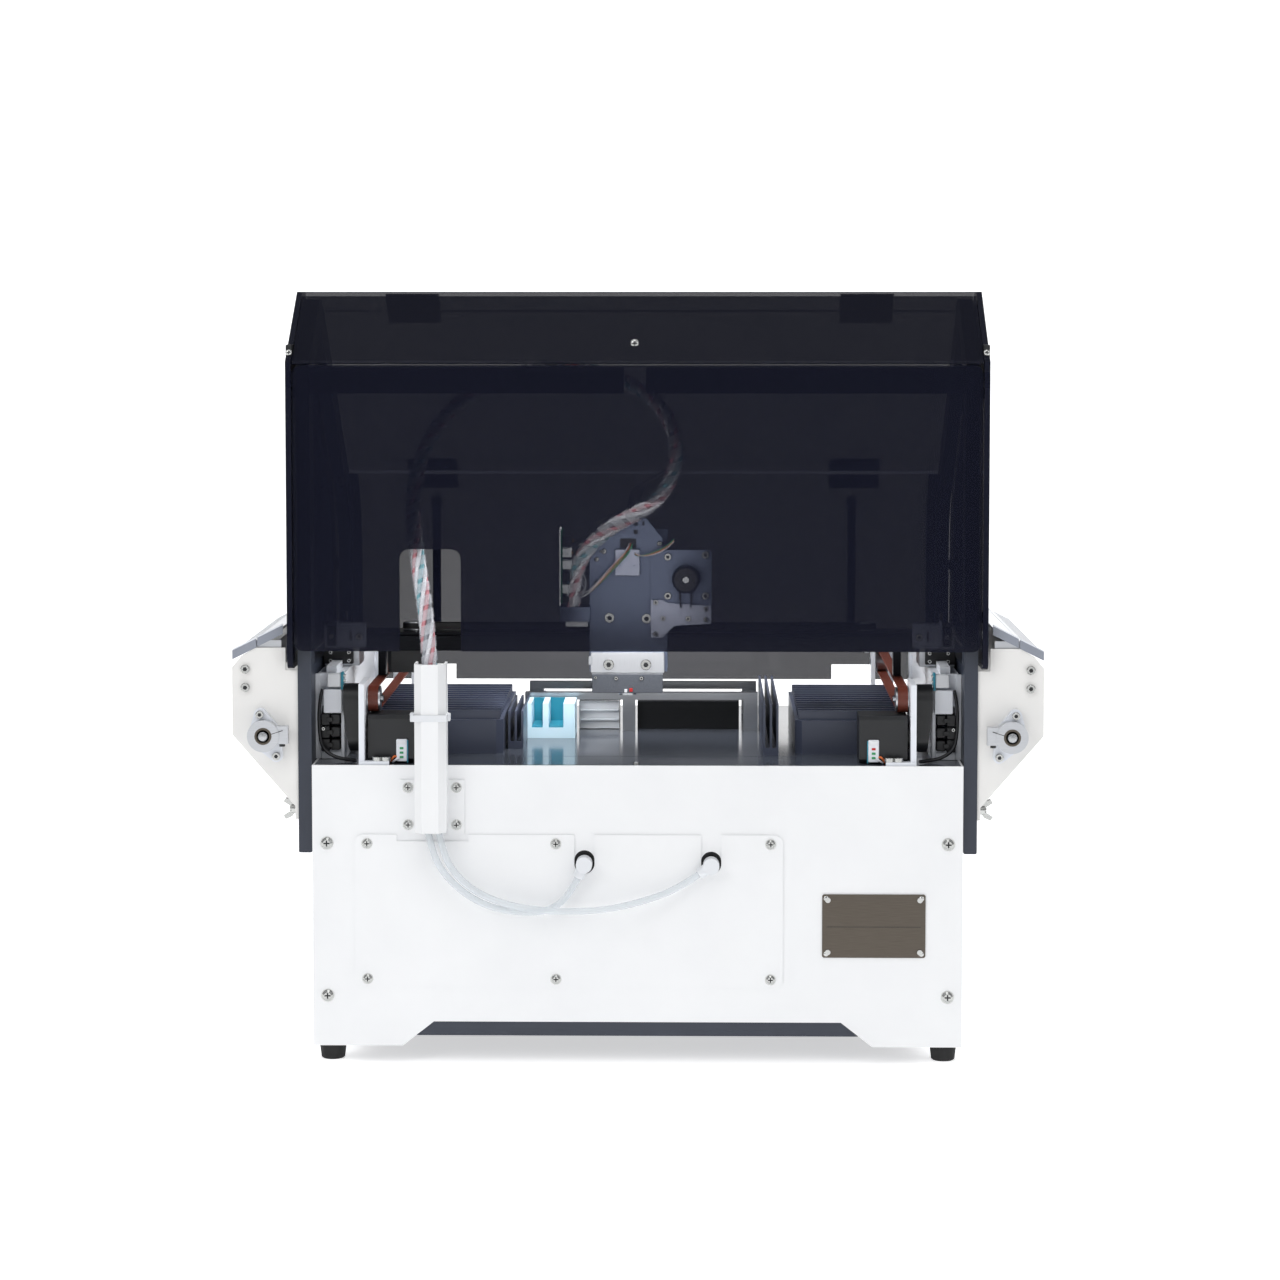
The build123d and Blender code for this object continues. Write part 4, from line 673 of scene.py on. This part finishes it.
# %% Tie, rating plate rules and table trim
strap = []
for low_x, high_x, low_d, high_d in ((-197.7, -167.3, -29.2, -28.0), (-197.7, -196.5, -29.0, -6.0),
                                     (-168.5, -167.3, -29.0, -6.0)):
    strap.append(box((low_x, high_x), (low_d, high_d), (311.6, 317.4), nylon_white, 0.2, 0.4))
strap.append(box((-200.5, -196.4), (-20, -13), (310.4, 318.6), nylon_white, 0.4, 0.8))
strap.append(box((-168.5, -164.8), (-19, -14), (311.0, 318.0), nylon_white, 0.4, 0.8))
piece("riser_tie", "base", strap)

rules = [box((169, 253), (-1.15, -0.95), (124.6, 125.0), black_oxide_and_painted_shade, 0.0, 0.05)]
for x, z in ((168.5, 100.5), (253.5, 100.5), (168.5, 150.5), (253.5, 150.5)):
    dome = [(-1.0, 2.4), (-1.6, 2.2), (-2.1, 1.4), (-2.3, 0.05)]
    rules.append((turned(x, z, dome, "y", 20), steel_zinc))
piece("rating_plate_trim", "base", rules)

table_screw = [(TABLE_TOP, 3.0), (TABLE_TOP + 1.6, 2.8), (TABLE_TOP + 2.2, 1.8), (TABLE_TOP + 2.3, 0.05)]
piece("table_trim", "base",
      [box((-160, 160), (4.6, 5.6), (TABLE_TOP - 0.3, TABLE_TOP + 0.12), black_oxide_and_painted_shade, 0.05, 0.1),
       (turned(-1.0, 12.0, table_screw, "z", 20), steel_zinc)])
print("riser tied, rating plate ruled, table trimmed")

# %% [markdown]
# The two channels of the parts tray are lined with teal strips: a floor and an end wall in each.

# %% Tray linings
linings = []
for low, high in ((-103.0, -92.5), (-87.0, -73.0)):
    linings.append(box((low + 0.1, high - 0.1), (230.9, 231.9), (279.1, 302.4), printed_teal, 0.1, 0.2))
    linings.append(box((low + 0.1, high - 0.1), (186.0, 230.8), (279.05, 280.2), printed_teal, 0.1, 0.2))
piece("tray_linings", "base", linings)

# %% [markdown]
# The open bin on the table has a pale front panel with two shallow ledges, where strips of parts are
# laid.

# %% Bin panel
bin_panel = [box((-60.5, -21.5), (253.0, 253.9), (269.5, 296.5), nylon_white, 0.1, 0.6)]
for z in (277.5, 286.5):
    bin_panel.append(box((-59.0, -23.0), (249.5, 253.2), (z, z + 1.6), abs_white, 0.2, 0.3))
piece("bin_front_panel", "base", bin_panel)

# %% [markdown]
# ## Film take-up ends
# Each roller shaft runs in a flanged bearing held by two cap screws, and a split collar with a clamp ear
# grips its end. The slit and the black clamp screw are what make the collar read as a collar. The slit
# is a dark sheet on the collar's face: painted shade of the gap.

# %% Bearing screws, collars and sleeves
for side, roller, name in ((-1, "film_roller_left", "left"), (1, "film_roller_right", "right")):
    fixed, moving = [], []
    for dx, dz in ((4.0, 18.3), (-10.5, -19.0)):
        fixed += cap_screw(side * (FILM_X + dx), FILM_Z + dz, 4.0, 3.6)
        fixed += cap_screw(side * (FILM_X + dx), FILM_Z + dz, 339.0, 3.6, toward=1)
    for z in (354.0, 337.5):
        fixed += cap_screw(side * 350.0, z, 10.0, 4.0)
        fixed += cap_screw(side * 350.0, z, 333.0, 4.0, toward=1)
    piece("wing_screws_" + name, "base", fixed)
    x = side * FILM_X
    ring = [(-7.02, 7.6), (-7.5, 7.6), (-7.5, 5.8), (-7.02, 5.8), (-7.02, 7.6)]
    moving.append((turned(x, FILM_Z, ring, "y"), steel_etched))
    moving.append((turned(x, FILM_Z, [(-8.8, 3.9), (-9.4, 3.5), (-9.6, 0.05)], "y"), steel_ground))
    # slit: dark sheet painted as the shade in the collar's gap
    slit = np.array([(x - side * 5.5, 296.6), (x - side * 17.5, 300.4), (x - side * 17.5, 301.0),
                     (x - side * 5.5, 297.2)])
    moving.append((carried(slit, -7.1, -6.0, "y", 0.0), black_oxide_and_painted_shade))
    clamp_screw = [(286.0, 2.6), (288.2, 2.6), (288.6, 2.2)]
    moving.append((turned(x - side * 16.5, -2.0, clamp_screw, "z", 20), black_oxide_and_painted_shade))
    piece("collar_details_" + name, roller, moving)
    sleeve = [(24.2, 12.6), (24.2, 13.15), (26.0, 13.3), (314.0, 13.3), (315.8, 13.15), (315.8, 12.6)]
    piece("roller_sleeve_" + name, roller,
          [(turned(x, FILM_Z, sleeve, "y", 40), roller_rubber)])
for side, name in ((-1, "left"), (1, "right")):
    lips = []
    for low, high, base in ((340.0, 361.5, 366.5), (316.0, 339.0, 378.0)):
        rise = 0.5 * (high - low)
        for bottom, top, near, material in ((-4.0, 4.0, 8.9, printed_grey), (4.0, 5.2, 8.8, abs_white)):
            lip = [(side * high, base + bottom), (side * low, base + bottom + rise),
                   (side * low, base + top + rise), (side * high, base + top)]
            lips.append((carried(lip, near, 9.9, "y", 0.1), material))
    piece("comb_lips_" + name, "base", lips)
print("film take-ups finished")

# %% [markdown]
# ## The placement head
# The head seen from behind is a plate with slots, a window that wires pass through, a light block, a
# motor plate with the black lift pulley, a light tie plate and, below, a bright bar over a speckled cast
# housing. The slots, the window and two small holes in the light block are dark patches on the faces:
# painted shade.

# %% Head plate fittings
lilac_plate = worked_metal("anodised_aluminium_pale_lilac", "#BCC1D6", "#CBD0E2", 0.45, 2)
head = []
# dark patches for the back plate's slots: painted shade
for x, z, wide, tall in ((-24.2, 479.5, 1.6, 4.2), (-18.4, 479.5, 2.6, 4.2), (-14.0, 479.5, 1.6, 4.2),
                         (-2.7, 479.5, 4.0, 4.2), (4.2, 479.5, 1.8, 4.2), (-18.6, 471.7, 1.2, 3.6),
                         (-2.7, 471.7, 4.0, 4.0)):
    head.append(box((x - wide / 2, x + wide / 2), (83.75, 84.3), (z - tall / 2, z + tall / 2), black_oxide_and_painted_shade,
                    0.0, 0.5))
# dark patch for the window the wires pass through: painted shade
head.append(box((-17, -2.3), (83.7, 84.3), (456.9, 465.8), black_oxide_and_painted_shade, 0.0, 0.6))
head.append(box((-21.5, 1.3), (76.5, 83.9), (432.1, 456.6), lilac_plate, 0.5, 0.8))
# two dark dots on the light block: painted shade of its holes
for x in (-16.6, -4.0):
    head.append((turned(x, 441.5, [(76.6, 0.7), (76.4, 0.7), (76.38, 0.02)], "y", 12), black_oxide_and_painted_shade))
for x, z, radius in ((-38.3, 464.4, 2.4), (-38.3, 446.7, 2.4), (-31.8, 454.0, 2.8), (-34.5, 454.0, 1.6),
                     (19.0, 461.3, 2.6)):
    head += pan_screw(x, z, BACK_PLATE, radius)
for x, z, radius in ((26.5, 449.4, 3.4), (60.7, 451.2, 3.4), (26.5, 413.8, 3.4), (60.7, 413.8, 3.4)):
    head += cap_screw(x, z, DRIVE_PLATE, radius)
for x, z in ((15.6, 408.0), (22.3, 393.4), (45.1, 393.2), (61.2, 402.0), (61.2, 392.4), (15.6, 379.2)):
    head += cap_screw(x, z, TIE_PLATE, 2.5)
for x, z in ((-26.6, 393.4), (7.2, 392.8)):
    head += cap_screw(x, z, BACK_PLATE, 4.6)
for x in (-27.0, 6.8):
    head += cap_screw(x, 352.0, 70.0, 4.8)
head.append((turned(-38.3, 424.8, [(84.05, 2.6), (83.7, 2.6), (83.68, 0.02)], "y", 20), black_oxide_and_painted_shade))
piece("head_plate_fittings", "head", head)

tie = np.array([(11.2, 375.8), (21.2, 375.8), (33, 386.8), (66.0, 388.6), (66.0, 404.8), (26, 407.5),
                (22, 410.2), (11.2, 410.2)])
housing = [(carried(tie, 76.6, 77.0, "y", 0.05), lilac_plate),
           box((-42.2, 22.2), (67.5, 71.5), (326.0, 343.4), speckled_grey, 0.5, 1.2),
           box((-43.6, 23.6), (69.4, 71.0), (344.2, 362.8), aluminium_upright, 0.4, 1.0),
           box((-45.4, -42.0), (69.0, 74.0), (351.5, 359.5), aluminium, 0.3, 0.5)]
for x in (-20.2, 2.8):
    housing += cap_screw(x, 339.6, 67.5, 1.9)
housing += cap_screw(-39.0, 340.2, 67.5, 1.5)
housing += [box((-12.8, -10.2), (66.6, 68.4), (326.6, 329.8), nylon_white, 0.2, 0.4),
            box((-8.2, -5.2), (66.4, 68.4), (327.2, 330.6), moulded_red, 0.2, 0.4)]
piece("head_foot_cover", "head", housing)

# %% [markdown]
# The lift pulley is turned from black bar. Its rim is knurled: a ridge every few degrees, drawn by a
# radius that rises and falls as R + h cos(40 a). The face steps down in rings towards the screw in the
# middle. The lift belt shows as two short strands below the pulley.

# %% Knurled lift pulley
angle = np.linspace(0, 2 * math.pi, 240, endpoint=False)[None, :]
rim_levels = np.array([60.2, 60.9, 77.0, 77.7])[:, None]
rim_radius = np.array([12.1, 12.45, 12.45, 12.1])[:, None] + 0.22 * np.cos(40 * angle)
rim = placed(LIFT_X + rim_radius * np.cos(angle), LIFT_Z + rim_radius * np.sin(angle), rim_levels, "y")
steps = [(60.25, 10.4), (59.7, 10.4), (59.7, 8.2), (59.95, 8.0), (59.95, 6.0), (59.5, 5.8), (59.5, 4.0),
         (59.9, 3.8), (59.9, 0.05)]
face = turned(LIFT_X, LIFT_Z, steps, "y", 40)
screw_head = [(turned(LIFT_X, LIFT_Z, [(59.95, 3.2), (58.9, 3.2), (58.6, 2.8), (58.6, 0.05)], "y", 24),
               steel_ground)]
strands = [carried([(x - 0.8 + lean, 404.0), (x + 0.8 + lean, 404.0), (x + 0.8, 418.5), (x - 0.8, 418.5)],
                   63.5, 73.5, "y", 0.1) for x, lean in ((37.6, 1.0), (48.4, -1.0))]
piece("lift_belt_strands", "head", [(rings, belt_black) for rings in strands])
piece("lift_pulley_rim", "lift_pulley",
      [(rim, black_anodised), (face, black_oxide_and_painted_shade)] + screw_head)
print("head fitted")

# %% [markdown]
# The head's board stands edge on, so it shows as a white line with its connectors beside it. Thin leads
# run from the board through the window and over to the lift motor. A lead is a curve with a round bevel.

# %% Board, connectors and leads
board = [box((-71.6, -70.2), (62, 90), (406.5, 476.0), nylon_white, 0.1, 0.2),
         box((-70.2, -69.0), (63, 89), (408.0, 474.5), solder_mask, 0.1, 0.2)]
for z, tall, material in ((465, 8, abs_black), (454, 8, nylon_white), (443, 8, nylon_white),
                          (432, 8, abs_black), (421, 8, nylon_white), (411.5, 5, abs_black)):
    board.append(box((-69.0, -60.5), (64.5, 82), (z - tall / 2, z + tall / 2), material, 0.4, 0.5))
    for k in (-1, 0, 1):
        board.append(box((-60.6, -58.2), (67 + 4 * (k + 1), 68.2 + 4 * (k + 1)), (z - 0.6, z + 0.6), brass,
                         0.1, 0.2))
board += [box((-66, -46), (62.5, 76), (387.0, 392.0), nylon_white, 0.4, 0.8),
          box((-57, -47), (77.0, 83.9), (395.0, 405.5), abs_black, 0.4, 0.8),
          box((-54, -46), (72.0, 83.5), (455.5, 461.0), nylon_white, 0.4, 0.8)]
piece("head_board", "head", board)


def leads(name, body, material, routes, radius):
    """Thin insulated wires: one NURBS spline of order 3 for each route, with a round bevel."""
    curve = bpy.data.curves.new(name, "CURVE")
    curve.dimensions = "3D"
    curve.resolution_u = 8
    curve.bevel_depth = radius * MM
    curve.bevel_resolution = 2
    curve.use_fill_caps = True
    for route in routes:
        spline = curve.splines.new("NURBS")
        spline.points.add(len(route) - 1)
        spline.points.foreach_set("co", np.array([(*spot(*p), 1.0) for p in route]).ravel())
        spline.order_u = 3
        spline.use_endpoint_u = True
    curve.materials.append(material)
    made = bpy.data.objects.new(name, curve)
    bpy.context.scene.collection.objects.link(made)
    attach(made, body)
    return made


wire_orange = coated("extruded_pvc_orange", "#D9692F", "#E57B41", 0.4, 1.0, 0.1)
wire_green = coated("extruded_pvc_green", "#4FA07C", "#62AE8C", 0.4, 1.0, 0.1)
for k, (tone, material) in enumerate((("white", wire_white), ("orange", wire_orange), ("green", wire_green))):
    down = [[(-9 + 1.6 * k, 84, 461 - j), (-10 + 1.4 * k, 74, 456 - 2 * j), (-22 + 1.2 * k, 71, 444 - 2 * j),
             (-36 + 1.0 * k, 71, 428 - 1.5 * j), (-50, 73 + k, 414 - 2.2 * j), (-58.5, 72 + k, 421 - 9 * j)]
            for j in (0, 1)]
    bridge = [[(-8, 84, 460 - k), (-4, 75, 452 - k), (6, 73.5, 450 + 0.6 * k), (18, 74, 453 + 1.2 * k),
               (28, 75, 459 + k), (32, 82, 463 + k)]]
    leads("head_leads_" + tone, "head", material, down + bridge, 0.55)
dark = [[(-10 + 2.2 * k, 92, 484 - k), (-10 + 2.4 * k, 80 - k, 496), (-6 + 2.4 * k, 72, 512),
         (10 + k, 66, 520), (30, 64, 532)] for k in range(5)]
dark += [[(-60, 70 + k, 462 - 9 * k), (-48 - k, 68, 468 - 6 * k), (-42 + k, 66, 480 - 2 * k),
          (-30, 66, 486 + k), (-16, 78, 488 + k)] for k in range(4)]
leads("head_leads_black", "head", wire_black, dark, 0.8)
loops = [[(-60, 71 + k, 443 - 6 * k), (-50, 66, 436 - 5 * k), (-46 - k, 64, 424 - 3 * k),
          (-54, 65, 416 - 2 * k), (-62, 67, 424 - k), (-58, 69, 432)] for k in range(3)]
leads("head_leads_grey", "head", wire_grey, loops, 0.6)
leads("head_leads_red", "head", wire_red, [[(-53 + 2 * k, 79, 404), (-53 + 2.2 * k, 74, 398),
                                            (-54 + 2.4 * k, 71, 391)] for k in range(3)], 0.55)
print("head wired")


# %% [markdown]
# ## The Y axis at each side
# Behind the cover each rail ends in a white channel that holds the stack of cable clips. Above it stand a
# light terminal block and its connector, and the carriage has a black face plate with four screws and a
# pale bracket.

# %% Rail ends and carriage plates
for side, name in ((-1, "left"), (1, "right")):
    def across(low, high):
        """Range of X on this side of the machine, from distances off the middle."""
        return (low, high) if side > 0 else (-high, -low)

    fixed = [box(across(286.2, 291.0), (40.5, 43.0), (269.2, 346.5), abs_white, 0.3, 0.6),
             box(across(265.0, 268.0), (40.5, 43.0), (269.2, 331.0), abs_white, 0.3, 0.6),
             box(across(268.2, 286.0), (40.6, 43.0), (269.2, 275.6), abs_white, 0.3, 0.6),
             box(across(266.5, 283.0), (33.0, 42.8), (311.5, 333.0), abs_white, 0.6, 1.0),
             box(across(267.5, 279.5), (34.0, 42.0), (335.0, 347.0), nylon_white, 0.6, 1.0),
             box(across(265.4, 267.2), (33.6, 42.4), (332.6, 348.4), printed_teal, 0.1, 0.3)]
    for row in range(3):
        low = 276.6 + 11.6 * row
        fixed.append(box(across(277.6, 285.6), (36.0, 50.0), (low, low + 10.8), abs_black, 0.7, 1.2))
        fixed.append(box(across(268.6, 277.0), (38.0, 50.0), (low + 0.8, low + 10.0), abs_black, 0.7, 1.2))
        fixed.append(box(across(275.0, 280.4), (35.0, 37.0), (low + 3.4, low + 7.4), abs_black, 0.3, 0.6))
    for x, z in ((265.9, 336), (265.9, 340.5), (265.9, 345)):
        fixed.append(box(across(263.2, 265.4), (36, 39), (z - 0.8, z + 0.8), steel_zinc, 0.1, 0.3))
    fixed += cap_screw(side * 283.5, 297.0, 36.0, 1.8)
    for x, d in ((232.5, 7.0), (224.5, 7.0)):
        fixed += cap_screw(side * x, d, 272.0, 4.2, "z", 1)
    piece("rail_end_" + name, "base", fixed)

    plug_body = [box(across(206.0, 215.5), (10.0, 18.0), (271.0, 291.0), abs_white, 0.6, 1.0),
                 box(across(205.0, 206.0), (10.5, 17.5), (270.0, 290.0), printed_teal, 0.1, 0.2),
                 box(across(206.8, 214.6), (9.4, 10.2), (286.5, 290.0), nylon_white, 0.2, 0.4)]
    for k, tone in enumerate((moulded_green, moulded_green, moulded_red if side > 0 else moulded_green)):
        plug_body.append(box(across(209.0, 212.4), (9.5, 10.2), (274.0 + 4 * k, 276.0 + 4 * k), tone,
                             0.1, 0.3))
    piece("motor_plug_" + name, "base", plug_body)
    leads("motor_leads_white_" + name, "base", wire_white,
          [[(side * 209.5, 14, 272), (side * 213.5, 9.0, 274.5), (side * 216.5, 8.6, 272.2),
            (side * 219.0, 13, 270.2)]], 0.9)
    leads("motor_leads_orange_" + name, "base", wire_orange,
          [[(side * 211.5, 15, 272), (side * 216.0, 9.6, 277.0), (side * 219.0, 9.4, 274),
            (side * 221.0, 14, 270.4)]], 0.9)
    leads("rail_cable_" + name, "base", wire_black,
          [[(side * 284.0, 35.0, 333.0), (side * 287.4, 33.0, 320.0), (side * 286.6, 32.0, 290.0),
            (side * 283.0, 30.0, 279.0), (side * 272.0, 26.0, 272.4), (side * 259.0, 20.0, 271.2),
            (side * 252.0, 14.0, 271.2)]], 1.6)

    moving = [box(across(262.0, 289.5), (93.4, 96.6), (349.5, 363.4), black_oxide_and_painted_shade, 0.4, 1.0),
              box(across(250.0, 275.0), (91.5, 94.0), (364.5, 388.0), lilac_plate, 0.4, 1.5),
              box(across(275.0, 277.4), (91.5, 96.8), (364.5, 390.5), lilac_plate, 0.3, 0.6),
              box(across(278.0, 286.0), (92.0, 96.8), (366.0, 384.0), abs_black, 0.5, 1.0),
              box(across(263.2, 265.2), (91.2, 91.8), (371.0, 380.0), black_oxide_and_painted_shade, 0.1, 0.9)]
    for x, z in ((266.0, 352.6), (266.0, 360.2), (283.0, 352.6), (283.0, 360.2)):
        moving += cap_screw(side * x, z, 93.4, 1.9)
    moving += cap_screw(side * 256.2, 375.0, 91.5, 3.2)
    moving += cap_screw(side * 282.0, 375.0, 92.0, 2.2)
    piece("carriage_plates_" + name, "gantry", moving)
print("Y axis ends dressed")

# %% [markdown]
# ## Cover fittings
# A saw cut edge of acrylic scatters the light that the sheet pipes to it, so where the lid meets the flap
# the joint shows as a pale line. That line is painted light: a pale strip that gives off its own emission.
# The black inner frame, the hinge screws and the screws at the sides belong to the cover as well.

# %% Cut edges and cover screws
upper_d, upper_z, lower_d, lower_z = 139.0, 674.115, 352.0, 513.0
run = math.hypot(lower_d - upper_d, upper_z - lower_z)
fall = np.array([(lower_d - upper_d) / run, (lower_z - upper_z) / run])
square = np.array([-fall[1], fall[0]])


def on_lid(along, out):
    """Depth and Z of a point on the closed lid: along from its upper hinge line, out from its outer face."""
    return np.array([upper_d, upper_z]) + along * fall + out * square


# pale strip with emission along the lid's cut edge: painted light
sawn_edge_painted_glow = see_through("sawn_acrylic_edge_painted_glow", "#CBCEDC", 0.92, 0.55, 2.0, 0.3, glow=1.0)
edge_outline = np.array([on_lid(run - 2.1, -0.2), on_lid(run - 1.25, -0.2), on_lid(run - 1.25, -3.8),
                         on_lid(run - 2.1, -3.8)])
piece("lid_sawn_edge", "lid", [(carried(edge_outline, -304.5, 304.5, "x", 0.0), sawn_edge_painted_glow)])
leaf_screws = []
for centre in (-209.0, 209.0):
    for offset in (-17.0, 0.0, 17.0):
        place = on_lid(14.0, 1.9)
        dome = turned(0.0, 0.0, [(0.0, 3.2), (1.0, 2.8), (1.4, 1.6), (1.45, 0.05)], "z", 18)
        leaf_screws.append((dome + np.array([(centre + offset) * MM, depth(place[0]) - REAR, place[1] * MM]),
                            steel_zinc))
piece("lid_leaf_screws", "lid", leaf_screws)
cover_screws = pan_screw(-2.5, 643.8, 20.2, 4.0)
for side in (-1, 1):
    for z in (636.0, 612.0):
        cover_screws += pan_screw(side * 308.4, z, 4.5, 3.0)
        cover_screws.append(box(sorted((side * 306.0, side * 311.2)), (4.5, 20.0), (z - 7, z + 7),
                                black_oxide_and_painted_shade, 0.3, 0.8))
piece("cover_screws", "base", cover_screws)
print("cover fittings made, joint line run", round(run, 1), "mm")
